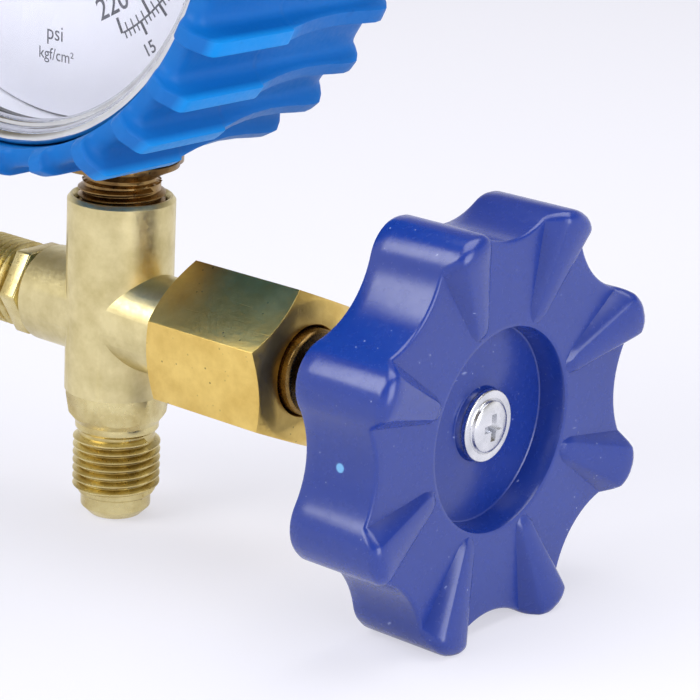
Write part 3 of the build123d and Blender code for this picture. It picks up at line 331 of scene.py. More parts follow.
def cut_thread(name, axis, start, end, crest, pitch):
    """A single-start thread over its core, wound as one ridge whose ends run out into a chamfer."""
    along, _, origin = AXES[axis]
    under = THREAD_CORE - 0.35    # the ridge is rooted this deep in the core
    # shares of the pitch along the axis, and mm out from it
    section = [(-0.47, THREAD_CORE), (-0.07, crest), (0.07, crest), (0.47, THREAD_CORE), (0.47, under),
               (-0.47, under), (-0.47, THREAD_CORE)]
    ridge = turned_line(name, axis, [(start + a * pitch, r) for a, r in section])
    edit((bpy.ops.mesh.remove_doubles, {"threshold": WELD}),
         (bpy.ops.transform.translate, {"value": -origin}))
    wound = ridge.modifiers.new("wound", "SCREW")
    wound.axis = axis
    wound.steps = wound.render_steps = 48
    wound.screw_offset = pitch * MM
    wound.iterations = int((end - start) / pitch)
    wound.use_merge_vertices = False
    bpy.ops.object.modifier_apply(modifier=wound.name)
    edit((bpy.ops.transform.translate, {"value": origin}))
    close_ends()
    edit((bpy.ops.mesh.normals_make_consistent, {"inside": False}))
    for vertex in ridge.data.vertices:
        from_axis = vertex.co - origin
        level = from_axis.dot(along)
        radial = from_axis - along * level
        from_end = min(level / MM - start, end - level / MM)
        most = (THREAD_CORE + max(from_end, -0.3)) * MM
        if radial.length > most:
            vertex.co -= radial * (1 - most / radial.length)
    alone(ridge)
    bpy.ops.object.shade_smooth_by_angle(angle=math.radians(40))
    return ridge


def joined(*pieces, name=None):
    """Joins pieces into the first of them, as one object."""
    alone(pieces[0])
    for other in pieces[1:]:
        other.select_set(True)
    bpy.ops.object.join()
    if name:
        pieces[0].name = pieces[0].data.name = name
    return pieces[0]


def prism(sides, radius, depth, at, turn=(0, 0, 0)):
    """A prism with so many sides, of a radius and depth in mm, at a place in metres, turned by degrees."""
    bpy.ops.mesh.primitive_cylinder_add(vertices=sides, radius=radius * MM, depth=depth * MM, location=at,
                                        rotation=[math.radians(angle) for angle in turn])
    bpy.ops.object.transform_apply(location=True, rotation=True, scale=True)
    return bpy.context.active_object


def carved(piece, *cutters, operation="DIFFERENCE"):
    """Cuts each cutter out of piece, or keeps what they share, and removes the cutter."""
    alone(piece)
    for cutter in cutters:
        cut = piece.modifiers.new("cut", "BOOLEAN")
        cut.operation = operation
        cut.solver = "EXACT"
        cut.object = cutter
        bpy.ops.object.modifier_apply(modifier=cut.name)
        bpy.data.objects.remove(cutter)


# Turned brass dulled by handling: a little darker than the body, marked finely all over.
dull_brass = bare_metal("handled_brass", "#e2d49c", "#c0ac70", 0.30, 0.4, drawn=(1, 1, 1), scratched=0.25)
nose = lathe("lower_flare", "Z", [(0, 2.4), (0, 3.3), (1.15, 4.45), (2.7, 4.45), (2.95, THREAD_CORE),
                                  (11.3, THREAD_CORE), (11.6, 5.3), (12.5, 5.3), (12.5, 4.7), (19.1, 4.6),
                                  (19.1, 2.4), (0, 2.4)])
nose_thread = cut_thread("lower_thread", "Z", 3.1, 11.5, THREAD_R, PITCH)
union_hex = prism(6, 6.62, 4.3, (0, 0, HEX_TOP - 2.1 * MM), (0, 0, 19))
taper = lathe("hex_taper", "Z", [(12.0, 0), (12.0, 5.15), (12.9, 5.6), (13.6, 6.2), (15.9, 6.55),
                                 (17.2, 6.6), (17.2, 0)], edge=0)
carved(union_hex, taper, operation="INTERSECT")
round_edges(union_hex, 0.15)
lower_flare = joined(nose, nose_thread, union_hex)
fit(lower_flare, dull_brass, "valve", "brass", "bottom_flare_connector")

port = lathe("hose_flare", "X", [(-27.3, 2.4), (-27.3, 3.3), (-26.15, 4.45), (-24.5, 4.45),
                                 (-24.2, THREAD_CORE), (-15.9, THREAD_CORE), (-15.6, 5.1), (-15.3, 4.95),
                                 (-13.1, 4.95), (-11.86, 6.2), (-11.84, 4.6), (-7.85, 4.6), (-7.85, 2.4),
                                 (-27.3, 2.4)])
port_thread = cut_thread("hose_thread", "X", -24.1, -15.6, THREAD_R, PITCH)
port_hex = prism(6, 6.2, 2.6, (-14.2 * MM, 0, AXIS_Z), (0, 90, 0))
round_edges(port_hex, 0.3)
hose_flare = joined(port, port_thread, port_hex)
fit(hose_flare, dull_brass, "valve", "brass", "left_flare_connector")


# ---------------------------------------------------------------- bonnet and gland
# Hexagonal brass bar drawn bright, its ends turned to a chamfer; the flats keep draw marks, scratches
# and pits, and are yellower than the body. The gland nut inside it is dark from oil.
drawn_brass = bare_metal("drawn_brass_bar", "#f2d27a", "#dcb963", 0.34, 0.3, drawn=(0.08, 1, 1),
                         scratched=0.7, pitted=0.8)
# Yellow brass, streaked lengthwise, with dark pits in patches.
bonnet = copy_of("hex_bonnet", "brass_hex_bonnet")
round_edges(bonnet, 0.16)
fit(bonnet, drawn_brass, "valve", "brass_bonnet", "hex_bonnet")

oiled_brass = bare_metal("oiled_brass", "#a3834a", "#6a5330", 0.26, 0.4, drawn=(1, 0.2, 0.2), scratched=0.2)
# Brown, with the shine of a film of oil.
gland = lathe("gland_nut", "X", [(28.0, 2.58), (28.0, 4.35), (28.35, 4.35), (28.35, 5.3), (32.5, 5.3),
                                 (32.9, 5.0), (32.9, 3.0), (32.3, 2.58), (28.0, 2.58)], edge=0.12)
fit(gland, oiled_brass, "valve", "brass", "gland_nut")


# ---------------------------------------------------------------- valve stem
# Steel spindle with a rolled thread, brown with grease where it shows between the gland and the wheel.
greased_steel = bare_metal("greased_steel", "#8a7a66", "#4d4033", 0.34, 0.4, drawn=(1, 0.2, 0.2),
                           scratched=0.3)
# Grey brown and streaked round the stem, as steel looks under old grease.
spindle = copy_of("valve_spindle", "steel_spindle")
round_edges(spindle, 0.1, 2)
fit(spindle, greased_steel, "stem", "steel", "valve_spindle")


# ---------------------------------------------------------------- handwheel
# Injection-moulded glossy plastic, deep blue: eight lobes with ridges that widen to the rim, a dished
# recess and a cored back. Fine dust sits on it, and one valley wall has a small paler blue spot.
moulded_blue, tree, shader, place = new_material("glossy_moulded_plastic")
# Even deep blue with a faint flow of pigment; specks of lint and thin scuffs show pale.
pigment = blend(tree, noise(tree, place, 18, 3.0), "#0f2a7a", "#163488")
specks = add_node(tree, "ShaderNodeTexVoronoi", Vector=place, Scale=1 / (1.3 * MM))
lint = ramp(tree, specks.outputs["Distance"], 0.05, 0.09, 0.6, 0.0)
dust = maths(tree, "MULTIPLY", lint, ramp(tree, noise(tree, place, 6, 1.0), 0.52, 0.62))
way = add_node(tree, "ShaderNodeMapping", Vector=place, Rotation=(0.3, 0.5, 0.8), Scale=(1, 0.2, 1))
scuff = ramp(tree, noise(tree, way.outputs[0], 0.9, 2.0), 0.75, 0.78, 0.0, 0.4)
dusty = blend(tree, maths(tree, "MAXIMUM", dust, scuff), pigment, "#b9c2e2")
# a small paler blue spot, about a millimetre across, on one valley wall of the rim
pale_spot_place = add_node(tree, "ShaderNodeMapping", Vector=place, Location=(-0.05515, 0.02211, -0.02618))
from_fleck = add_node(tree, "ShaderNodeVectorMath", {"operation": "LENGTH"}, i0=pale_spot_place.outputs[0])
pale_spot = ramp(tree, from_fleck.outputs["Value"], 0.45 * MM, 0.6 * MM, 0.9, 0.0)
haze = noise(tree, place, 0.8, 4.0)
skin = add_node(tree, "ShaderNodeBump", Height=haze, Strength=0.06, Distance=0.02 * MM)
plug(tree, shader, Base_Color=blend(tree, pale_spot, dusty, "#6fb0dc"), Specular_IOR_Level=0.65,
     Roughness=ramp(tree, haze, 0.3, 0.7, 0.22, 0.29), Normal=skin.outputs["Normal"])
LOBES = 8
HALF_LOBE = math.pi / LOBES
LOBE_R, LOBE_C, VALLEY_R, VALLEY_C = 4.7, 21.3, 11.0, 33.1    # arcs of the rim: radius, place of the centre
FRONT, BACK, TIP = 60.2, 50.0, 26.0                           # faces along the stem, and the lobe's end
RIDGE_FROM, RIDGE_RUN = 12.6, 0.9                             # radius where ridges begin; their run-in
RIDGE_FOOT, RIDGE_H = 0.35, 2.55                              # height at the inner end, and more at the rim
RIDGE_TIP, RIDGE_END, RIDGE_HALF = 0.3, 1.2, 4.3              # half widths: inner tip, end of its bow, rim
ROOF, ROOF_DROP = 0.58, 0.14                                  # share of the half width that is roof; its fall
TOP_FROM = 12.3                                               # radius where the top face begins
BORE, HUB, DISH, BOSS = 2.6, 13, 56.8, 57.5                   # bore and hub radii, recess floor, boss top
FLANKS = [0, 0.12, 0.3, 0.46, ROOF, 0.63, 0.75, 0.89, 1]      # shares of a ridge's half width
VALLEYS = [0.05, 0.14, 0.28, 0.45, 0.62, 0.78, 0.86, 1]       # shares from a ridge's foot to the valley
RIB_FROM = len(FLANKS) + 6                                    # columns from here on carry a rib at the back


def rim(turn):
    """Radius of the lobed rim, in mm, at an angle from the middle of a lobe."""
    far = Vector((VALLEY_C * math.cos(HALF_LOBE), VALLEY_C * math.sin(HALF_LOBE)))
    meeting = Vector((LOBE_C, 0)).lerp(far, LOBE_R / (LOBE_R + VALLEY_R))
    if turn < math.atan2(meeting.y, meeting.x):
        return LOBE_C * math.cos(turn) + math.sqrt(LOBE_R ** 2 - (LOBE_C * math.sin(turn)) ** 2)
    rest = HALF_LOBE - turn
    return VALLEY_C * math.cos(rest) - math.sqrt(max(0, VALLEY_R ** 2 - (VALLEY_C * math.sin(rest)) ** 2))


def half_ridge(radius):
    """Half the width of a ridge at a radius: a round inner end, then widening to the rim."""
    past = radius - RIDGE_FROM
    if past < RIDGE_END:
        bow = math.sqrt(max(0, 1 - ((RIDGE_END - past) / RIDGE_END) ** 2))
        return RIDGE_TIP + (RIDGE_END - RIDGE_TIP) * bow
    return RIDGE_END + (RIDGE_HALF - RIDGE_END) * past / (TIP - RIDGE_FROM)


def lobe_column(column):
    """One radial line of the wheel, as points (x, angle, radius) in mm from the boss out, round and back."""
    on_ridge = column < len(FLANKS)
    share = FLANKS[column] if on_ridge else 1.0

    def turn_at(radius):
        if on_ridge:
            return math.asin(share * half_ridge(radius) / radius)
        foot = math.asin(min(1, half_ridge(radius) / radius))
        return foot + (HALF_LOBE - foot) * VALLEYS[column - len(FLANKS)]

    crown = 1 - ROOF_DROP * (share / ROOF) ** 2
    if share >= ROOF:
        crown = (1 - ROOF_DROP) * (1 - ((share - ROOF) / (1 - ROOF)) ** 1.25)
    edge = 0.5 + 1.1 * math.sqrt(1 - share)
    # the column's angle depends on its radius, so the place where it meets the rim is closed in on
    outer = TIP
    for step in range(12):
        outer = rim(turn_at(outer))
    inner, at_rim = turn_at(HUB), turn_at(outer)
    line = [(x, inner, radius) for x, radius in (
        (BOSS, BORE), (BOSS, 4.0), (57.35, 4.15), (56.9, 4.4), (DISH, 4.6), (DISH, 11.4), (56.9, 11.55),
        (59.8, 11.85), (60.1, 12.0))]
    for step in range(15):
        radius = TOP_FROM + (outer - edge - TOP_FROM) * (step / 14) ** 1.5
        along = max(0.0, radius - RIDGE_FROM)
        rise = RIDGE_FOOT + RIDGE_H * along / (TIP - RIDGE_FROM)
        swell = math.sin(min(1, along / RIDGE_RUN) * math.pi / 2)
        line.append((FRONT + rise * crown * swell, turn_at(radius), radius))
    top = line[-1][0]
    for step in range(1, 7):
        bend = math.radians(15 * step)
        line.append((top - edge + edge * math.cos(bend), at_rim, outer - edge + edge * math.sin(bend)))
    floor = BACK + (7.4 if column < RIB_FROM else 0.2)
    line += [(x, at_rim, outer - inset) for x, inset in (
        (52.0, 0), (BACK + 0.7, 0), (BACK + 0.2, 0.2), (BACK, 0.7), (BACK, 2.3), (floor, 2.5))]
    line += [(floor, turn_at(13.6), 13.6), (BACK, turn_at(13.4), 13.4)]
    line += [(x, inner, radius) for x, radius in (
        (BACK, 8.4), (49.6, 7.8), (38.1, 7.1), (37.6, 6.6), (37.6, BORE), (BOSS, BORE))]
    return line


columns = len(FLANKS) + len(VALLEYS)
ways = []
for lobe in range(LOBES):
    middle = HALF_LOBE * (1 + 2 * lobe)
    ways += [(middle, -1, column) for column in range(columns - 1, 0, -1)]
    ways += [(middle, 1, column) for column in range(columns - 1)]
bm = bmesh.new()
rows = []
for middle, side, column in ways:
    line = lobe_column(column)
    rows.append([bm.verts.new((x * MM, radius * math.cos(middle + side * turn) * MM,
                               AXIS_Z + radius * math.sin(middle + side * turn) * MM))
                 for x, turn, radius in line])
for row, following in zip(rows, rows[1:] + rows[:1]):
    for k in range(len(row) - 1):
        bm.faces.new((row[k], row[k + 1], following[k + 1], following[k]))
shell = bpy.data.meshes.new("lobed_handwheel")
bm.to_mesh(shell)
bm.free()
wheel = bpy.data.objects.new("lobed_handwheel", shell)
bpy.context.collection.objects.link(wheel)
alone(wheel)
edit((bpy.ops.mesh.remove_doubles, {"threshold": 0.005 * MM}),
     (bpy.ops.mesh.normals_make_consistent, {"inside": False}))
bpy.ops.object.shade_smooth_by_angle(angle=math.radians(33))
fit(wheel, moulded_blue, "stem", "blue_plastic", "handwheel")


# ---------------------------------------------------------------- handwheel screw
# Zinc-plated steel pan screw with its own washer flange and a cross recess, bright and a little worn.
zinc_plate = bare_metal("zinc_plated_steel", "#eeeef0", "#cfd1d5", 0.22, 0.4, scratched=0.3)
# Bright bluish white with hairline scratches.
screw = lathe("wheel_screw", "X", [(49.5, 0), (49.5, 1.45), (57.5, 1.45), (57.5, 4.1), (57.65, 4.25),
                                   (58.15, 4.25), (58.3, 4.1), (58.3, 3.3), (58.15, 3.2), (58.3, 3.1),
                                   (58.6, 3.0), (58.85, 2.5), (59.0, 1.5), (59.05, 0)], edge=0.06)


def block(size, at):
    """A box of a size and at a place in metres."""
    bpy.ops.mesh.primitive_cube_add(size=1)
    made = bpy.context.active_object
    made.scale = size
    made.location = at
    bpy.ops.object.transform_apply(location=True, rotation=True, scale=True)
    return made


NARROWED = 0.35    # the cross recess is this much of its width at the bottom
arms = [block((2.0 * MM, wide * MM, tall * MM), (59.0 * MM, 0, AXIS_Z))
        for wide, tall in ((1.3, 4.8), (4.8, 1.3))]
for arm in arms:
    for vertex in arm.data.vertices:
        if vertex.co.x < 58.5 * MM:
            vertex.co.y *= NARROWED
            vertex.co.z = AXIS_Z + (vertex.co.z - AXIS_Z) * NARROWED
carved(screw, *arms)
fit(screw, zinc_plate, "stem", "steel", "handwheel_screw")


# ---------------------------------------------------------------- gauge socket
# Brass stem of the gauge: a thread screwed into the body, a groove, and a boat-shaped saddle that
# follows the round case and stands out below the boot. Milled, then lightly polished.
milled_brass = bare_metal("milled_brass", "#b09058", "#6e5433", 0.30, 0.4, drawn=(1, 1, 0.2), scratched=0.3)
# Browned by age, with upright marks of the cutter.
saddle = copy_of("gauge_socket", "gauge_socket")
# the CAD's plain thread shrinks to the core that the wound thread stands on
bpy.ops.object.mode_set(mode="EDIT")
bpy.ops.mesh.select_mode(type="VERT")
bpy.ops.mesh.select_all(action="DESELECT")
bpy.ops.object.mode_set(mode="OBJECT")
for vertex in saddle.data.vertices:
    vertex.select = math.hypot(vertex.co.x, vertex.co.y) > 5.0 * MM and vertex.co.z < 43.7 * MM
bpy.ops.object.mode_set(mode="EDIT")
bpy.ops.transform.resize(value=(THREAD_CORE / THREAD_R, THREAD_CORE / THREAD_R, 1),
                         center_override=(0, 0, 42 * MM))
bpy.ops.object.mode_set(mode="OBJECT")
round_edges(saddle, 0.18)
stem_thread = cut_thread("stem_thread", "Z", 34.6, 43.9, 5.45, 0.94)
socket = joined(saddle, stem_thread)
fit(socket, milled_brass, "valve", "brass_socket", "gauge_socket")


# ---------------------------------------------------------------- rubber boot
# Moulded blue rubber stretched over the case: thirty fins with rounded crests, a parting line of the
# mould behind which they are lower, a lip over the bezel, an open back and a slot for the saddle.
FINS, FIRST_FIN = 30, 27.9                              # number; degrees of the first from the bottom
SLEEVE_R, CREST_R, LOW_CREST = 36.2, 39.3, 37.4
LOW_WITHIN = 20.5                                       # degrees from the bottom within which fins are lower
# half a fin from its middle to the valley: mm aside at the crest, and how far it stands out there
FIN_HALF = [(0, 1), (0.55, 1), (0.92, 0.99), (1.06, 0.9), (1.16, 0.66), (1.32, 0.38), (1.62, 0.17),
            (2.1, 0.06), (2.7, 0.01), (3.4, 0), (4.12, 0)]
COLUMNS = 2 * len(FIN_HALF) - 2
# along, radius of the sleeve, then along and radius of a fin's crest there
SLEEVE = [(-22.6, 34.0, -22.6, 34.0), (-22.62, 34.15, -23.3, 34.3), (-22.64, 34.3, -24.0, 34.7),
          (-22.66, 34.5, -24.35, 35.1), (-22.66, 34.8, -24.4, 35.6), (-22.64, 35.1, -24.4, 36.5),
          (-22.6, 35.4, -24.3, 37.0), (-22.5, 35.7, -23.9, 37.5), (-22.3, 35.95, -23.0, 38.5),
          (-22.05, 36.1, -22.6, 38.9), (-21.7, SLEEVE_R, -22.1, 39.2), (-20.8, SLEEVE_R, -21.4, CREST_R),
          (-19, SLEEVE_R, -19, CREST_R), (-14, SLEEVE_R, -14, CREST_R), (-10.2, SLEEVE_R, -10.2, CREST_R),
          (-9.8, SLEEVE_R, -9.8, 39.2), (-9.6, 36.1, -9.6, 38.8), (-9.2, 36.1, -9.2, 38.75),
          (-6.5, 36.15, -6.5, 38.2), (-4, 36.15, -4, 37.85), (-1, 36.15, -1, 37.7), (2, 36.15, 2, 37.85),
          (4.5, 36.1, 4.5, 38.15), (6.2, 36.1, 6.2, 38.3), (7.3, 35.9, 7.3, 38.15), (8.2, 35.6, 8.2, 37.3),
          (8.8, 35.0, 8.8, 36.2), (9, 34.2, 9, 35.2)]
INSIDE = [(9, 27.6), (8.6, 27.0), (7.4, 27.0), (7.06, 27.4), (7.06, 33.1), (-13.9, 33.1), (-13.9, 33.86),
          (-21.9, 33.95), (-22.6, 34.0)]
rubber_profile = [(a, r) for a, r, crest_a, crest_r in SLEEVE] + INSIDE
along, out, origin = AXES["Y"]
out = Quaternion(along, math.radians(-180 / FINS)) @ out
boot = drawn_line("boot_sector", [origin + along * a * MM + out * r * MM for a, r in rubber_profile])
edit((bpy.ops.mesh.spin, {"steps": COLUMNS, "angle": -math.radians(360 / FINS), "center": origin,
                          "axis": along}),
     (bpy.ops.mesh.remove_doubles, {"threshold": WELD}))
for vertex in boot.data.vertices:
    radius = math.hypot(vertex.co.x, vertex.co.z - DIAL_Z)
    turn = math.atan2(vertex.co.x, vertex.co.z - DIAL_Z)
    column = round(abs(turn) / math.radians(360 / FINS / COLUMNS))
    aside, rise = FIN_HALF[column]
    turn = math.copysign(aside / FIN_HALF[-1][0] * math.radians(180 / FINS), turn)
    found = [(a, r, crest_a, crest_r) for a, r, crest_a, crest_r in SLEEVE
             if abs(a - vertex.co.y / MM) < 0.005 and abs(r - radius / MM) < 0.005]
    if found:
        a, r, crest_a, crest_r = found[0]
        radius = (r + (crest_r - r) * rise) * MM
        vertex.co.y = (a + (crest_a - a) * rise) * MM
    vertex.co.x = radius * math.sin(turn)
    vertex.co.z = DIAL_Z + radius * math.cos(turn)
sectors = []
for number in range(FINS):
    angle = math.radians(180 - FIRST_FIN - number * 360 / FINS)
    sector = boot.copy()
    sector.data = boot.data.copy()
    bpy.context.collection.objects.link(sector)
    sector.data.transform(Matrix.Translation(origin) @ Matrix.Rotation(angle, 4, "Y")
                          @ Matrix.Translation(-origin))
    sectors.append(sector)
bpy.data.objects.remove(boot)
boot = joined(*sectors, name="ribbed_rubber_boot")
edit((bpy.ops.mesh.remove_doubles, {"threshold": 0.01 * MM}),
     (bpy.ops.mesh.normals_make_consistent, {"inside": False}))
# the fins at the saddle are pressed lower
for vertex in boot.data.vertices:
    x, z = vertex.co.x, vertex.co.z - DIAL_Z
    radius = math.hypot(x, z) / MM
    if z < 0 and abs(math.degrees(math.atan2(x, -z))) < LOW_WITHIN and radius > SLEEVE_R:
        kept = (LOW_CREST - SLEEVE_R) / (CREST_R - SLEEVE_R)
        factor = (SLEEVE_R + (radius - SLEEVE_R) * kept) / radius
        vertex.co.x *= factor
        vertex.co.z = DIAL_Z + z * factor
slot_cutter = prism(48, 5.8, 8, (0, 0, 51 * MM))
for vertex in slot_cutter.data.vertices:
    vertex.co.y += math.copysign(2.9 * MM, vertex.co.y) if abs(vertex.co.y) > 1e-6 else 0
carved(boot, slot_cutter)
bpy.ops.object.shade_smooth_by_angle(angle=math.radians(38))

# Moulded rubber: an even strong blue with a dull skin; the outer ring of the crests is painted paler as a
# highlight.
boot_rubber, tree, shader, place = new_material("moulded_blue_rubber")
tone = blend(tree, noise(tree, place, 9, 4.0), "#0061ad", "#0069b6")
centred = add_node(tree, "ShaderNodeMapping", Vector=place, Location=(0, 0, -DIAL_Z), Scale=(1, 0, 1))
from_centre = add_node(tree, "ShaderNodeVectorMath", {"operation": "LENGTH"}, i0=centred.outputs[0])
# painted highlight: the outermost mm of the fins' crests turns a paler cyan blue
crest = ramp(tree, from_centre.outputs["Value"], 38.3 * MM, 39.1 * MM, 0.0, 0.6)
crest_painted_highlight = blend(tree, crest, tone, "#089aea")
dirty = ramp(tree, noise(tree, place, 2.5, 6.0, 0.7), 0.62, 0.75, 0.0, 0.3)
grain = noise(tree, place, 0.6, 3.0)
skin = add_node(tree, "ShaderNodeBump", Height=grain, Strength=0.3, Distance=0.03 * MM)
plug(tree, shader, Base_Color=blend(tree, dirty, crest_painted_highlight, "#024c90"), Specular_IOR_Level=0.25,
     Roughness=ramp(tree, grain, 0.3, 0.7, 0.42, 0.56), Normal=skin.outputs["Normal"])
fit(boot, boot_rubber, "valve", "blue_rubber", "gauge_boot")


# ---------------------------------------------------------------- case and its screws
# Drawn steel can painted satin black, open in front; two zinc-plated pan screws hold it to the socket
# from behind, in the boot's open back.
black_paint, tree, shader, place = new_material("satin_black_paint")
# Sprayed enamel with a slight orange peel, dusty grey in places.
peel = noise(tree, place, 0.9, 2.0)
ripple = add_node(tree, "ShaderNodeBump", Height=peel, Strength=0.3, Distance=0.03 * MM)
plug(tree, shader, Base_Color=blend(tree, noise(tree, place, 12, 5.0), "#141416", "#2a2b2f"),
     Roughness=ramp(tree, peel, 0.3, 0.7, 0.34, 0.46), Normal=ripple.outputs["Normal"])
inner_white, tree, shader, place = new_material("white_inner_paint")
# The inside wall round the dial is sprayed white, with a soft gloss and slight unevenness.
plug(tree, shader, Base_Color=blend(tree, noise(tree, place, 8, 3.0), "#d9dae4", "#e6e7ee"), Roughness=0.4)
case = copy_of("gauge_case", "drawn_case")
round_edges(case, 0.3)
fit(case, black_paint, "valve", "case_steel", "gauge_case")
case.data.materials.append(inner_white)
for face in case.data.polygons:
    to_axis = Vector((-face.center.x, 0, DIAL_Z - face.center.z))
    if face.normal.dot(to_axis.normalized()) > 0.7:
        face.material_index = 1

SCREW_X, SCREW_DOWN = 5, 21.1    # places of the two screws from the gauge's middle
screws = []
for side in (-SCREW_X, SCREW_X):
    pan = lathe("case_screw", "Y", [(0.8, 0), (0.8, 1.25), (7.02, 1.25), (7.02, 2.2), (7.6, 2.15),
                                    (8.05, 1.7), (8.2, 1.0), (8.2, 0)], steps=48, edge=0.06)
    edit((bpy.ops.transform.translate, {"value": (side * MM, 0, -SCREW_DOWN * MM)}))
    for wide, tall in ((0.5, 2.6), (2.6, 0.5)):
        recess = block((wide * MM, 1.6 * MM, tall * MM), (side * MM, 8.3 * MM, DIAL_Z - SCREW_DOWN * MM))
        carved(pan, recess)
    screws.append(pan)
pair = joined(*screws, name="case_screw_pair")
fit(pair, zinc_plate, "valve", "steel", "case_screws")


# ---------------------------------------------------------------- bezel and lens
# Steel ring spun over the case and chrome-plated: fine rolled steps round a moulded clear lens.
plated_chrome = bare_metal("bright_chrome_plate", "#dcdddf", "#cfd0d2", 0.10, 2.5, relief_depth=0.002)
# An almost even mirror, whose faint waves break the reflections a little.
bezel = lathe("chrome_bezel", "Y", [(-18.72, 31.0), (-19.4, 31.0), (-19.62, 31.12), (-19.9, 31.35),
                                    (-19.9, 31.75), (-20.2, 31.95), (-20.8, 32.1), (-21.2, 32.4),
                                    (-21.5, 32.75), (-21.6, 33.05), (-21.5, 33.4), (-21.2, 33.66),
                                    (-20.8, 33.78), (-20.2, 33.8), (-14.0, 33.8), (-14.0, 33.06),
                                    (-18.72, 33.06), (-18.72, 31.0)], steps=180, edge=0.06)
fit(bezel, plated_chrome, "valve", "chrome", "bezel_ring")

clear_lens, tree, shader, place = new_material("clear_polycarbonate")
# Clear moulded sheet: nearly unseen, with a soft gloss and the faintest haze of hairline scratches.
wiped = noise(tree, place, 4, 5.0)
plug(tree, shader, Base_Color=linear("#ffffff"), IOR=1.58, Roughness=ramp(tree, wiped, 0.4, 0.7, 0.03, 0.12),
     Alpha=ramp(tree, wiped, 0.35, 0.75, 0.03, 0.07))
lens = lathe("clear_lens", "Y", [(-17.12, 0), (-17.12, 32.8), (-17.3, 33.0), (-18.5, 33.0), (-18.68, 32.8),
                                 (-18.68, 0)], steps=96, edge=0)
bpy.ops.object.shade_smooth_by_angle(angle=math.radians(20))
fit(lens, clear_lens, "valve", "clear_plastic", "lens")


# ---------------------------------------------------------------- dial
# Aluminium disc enamelled white and printed in dark grey: pressure in psi inside, kgf/cm2 outside,
# from vacuum to 220 psi over 304 degrees. Prints are a hair proud of the enamel.
white_enamel, tree, shader, place = new_material("white_enamel")
# Cool white, very slightly uneven, with a soft gloss.
plug(tree, shader, Base_Color=blend(tree, noise(tree, place, 20, 3.0), "#dfe0ec", "#e8e8f2"),
     Roughness=ramp(tree, noise(tree, place, 0.7, 2.0), 0.3, 0.7, 0.35, 0.45))
dial = copy_of("dial_plate", "enamelled_dial")
round_edges(dial, 0.06, 2)
fit(dial, white_enamel, "valve", "dial_white", "dial_plate")

dial_ink, tree, shader, place = new_material("dark_grey_print")
# Screen-printed ink: near black, slightly thin and grey in patches, matt.
plug(tree, shader, Base_Color=blend(tree, noise(tree, place, 1.5, 3.0), "#2c2c38", "#45455a"), Roughness=0.6)
PRINT_Y, PRINT_T = -11.6 * MM, 0.02 * MM
FULL_PSI = 220
ZERO, PER_PSI = 47.1, 284.9 / FULL_PSI    # degrees from the bottom towards -X; degrees for one psi
PER_KGF = PER_PSI * 14.2233
VACUUM = -18.9                            # degrees of full vacuum, 30 inHg
INNER_R, LINE_R, OUTER_R = 22.2, 23.2, 24.0    # short psi ticks begin, the scale line, short kgf ticks end
PSI_R, KGF_R = 19.7, 26.5                 # radii of the numbers
LINE_OPEN = 28.0                          # degrees from the bottom where the scale line ends
CAP_HEIGHT = 0.72                         # of the letters, as a share of the font's size


def spot(radius, psi_angle):
    """Place on the dial, in mm from its centre as seen from the front, at degrees past zero."""
    turn = math.radians(ZERO + psi_angle)
    return -radius * math.sin(turn), -radius * math.cos(turn)


def tick_ring(inner, outer, width, first, step, count):
    """A row of printed ticks between two radii, one every step degrees, starting first past zero."""
    ticks = block((width * MM, PRINT_T, (outer - inner) * MM),
                  (0, PRINT_Y, DIAL_Z - (inner + outer) / 2 * MM))
    edit((bpy.ops.mesh.spin, {"steps": count - 1, "dupli": True, "angle": -math.radians(step * (count - 1)),
                              "center": (0, PRINT_Y, DIAL_Z), "axis": (0, 1, 0)}))
    turn = Matrix.Rotation(math.radians(ZERO + first), 4, "Y")
    centre = Vector((0, 0, DIAL_Z))
    ticks.data.transform(Matrix.Translation(centre) @ turn @ Matrix.Translation(-centre))
    return ticks


def printed_text(words, height, at, turn=0.0, heavier=0.03):
    """Words printed on the dial, centred at a place, turned clockwise in degrees."""
    bpy.ops.object.text_add()
    text = bpy.context.active_object
    text.data.body = words
    text.data.size = height * MM / CAP_HEIGHT
    text.data.align_x, text.data.align_y = "CENTER", "CENTER"
    text.data.extrude = PRINT_T / 2
    text.data.offset = heavier * MM
    text.data.resolution_u = 4
    bpy.ops.object.convert(target="MESH")
    text = bpy.context.active_object
    text.data.transform(Matrix.Translation((at[0] * MM, PRINT_Y, DIAL_Z + at[1] * MM))
                        @ Matrix.Rotation(math.radians(turn), 4, "Y") @ Matrix.Rotation(math.pi / 2, 4, "X"))
    return text


def upright(past_zero):
    """Turn that keeps a number on the dial readable: feet inwards in the upper half, outwards below."""
    turn = ZERO + past_zero - 180
    return turn + 180 if math.cos(math.radians(turn)) < -0.1 else turn


prints = [tick_ring(INNER_R, LINE_R, 0.22, 0, PER_PSI * 2, 111),
          tick_ring(21.3, LINE_R, 0.42, 0, PER_PSI * 10, 23),
          tick_ring(LINE_R, OUTER_R, 0.22, -PER_KGF, PER_KGF / 10, 165),
          tick_ring(LINE_R, 24.9, 0.4, -PER_KGF, PER_KGF / 2, 33),
          tick_ring(INNER_R, LINE_R, 0.3, VACUUM, -VACUUM / 3, 3)]
ring = lathe("scale_line", "Y", [(-11.61, 23.08), (-11.61, 23.32), (-11.59, 23.32), (-11.59, 23.08),
                                 (-11.61, 23.08)], steps=240, edge=0)
bpy.ops.object.mode_set(mode="EDIT")
bpy.ops.mesh.select_mode(type="VERT")
bpy.ops.mesh.select_all(action="DESELECT")
bpy.ops.object.mode_set(mode="OBJECT")
for vertex in ring.data.vertices:
    vertex.select = abs(math.degrees(math.atan2(vertex.co.x, DIAL_Z - vertex.co.z))) < LINE_OPEN
bpy.ops.object.mode_set(mode="EDIT")
bpy.ops.mesh.delete(type="VERT")
bpy.ops.object.mode_set(mode="OBJECT")
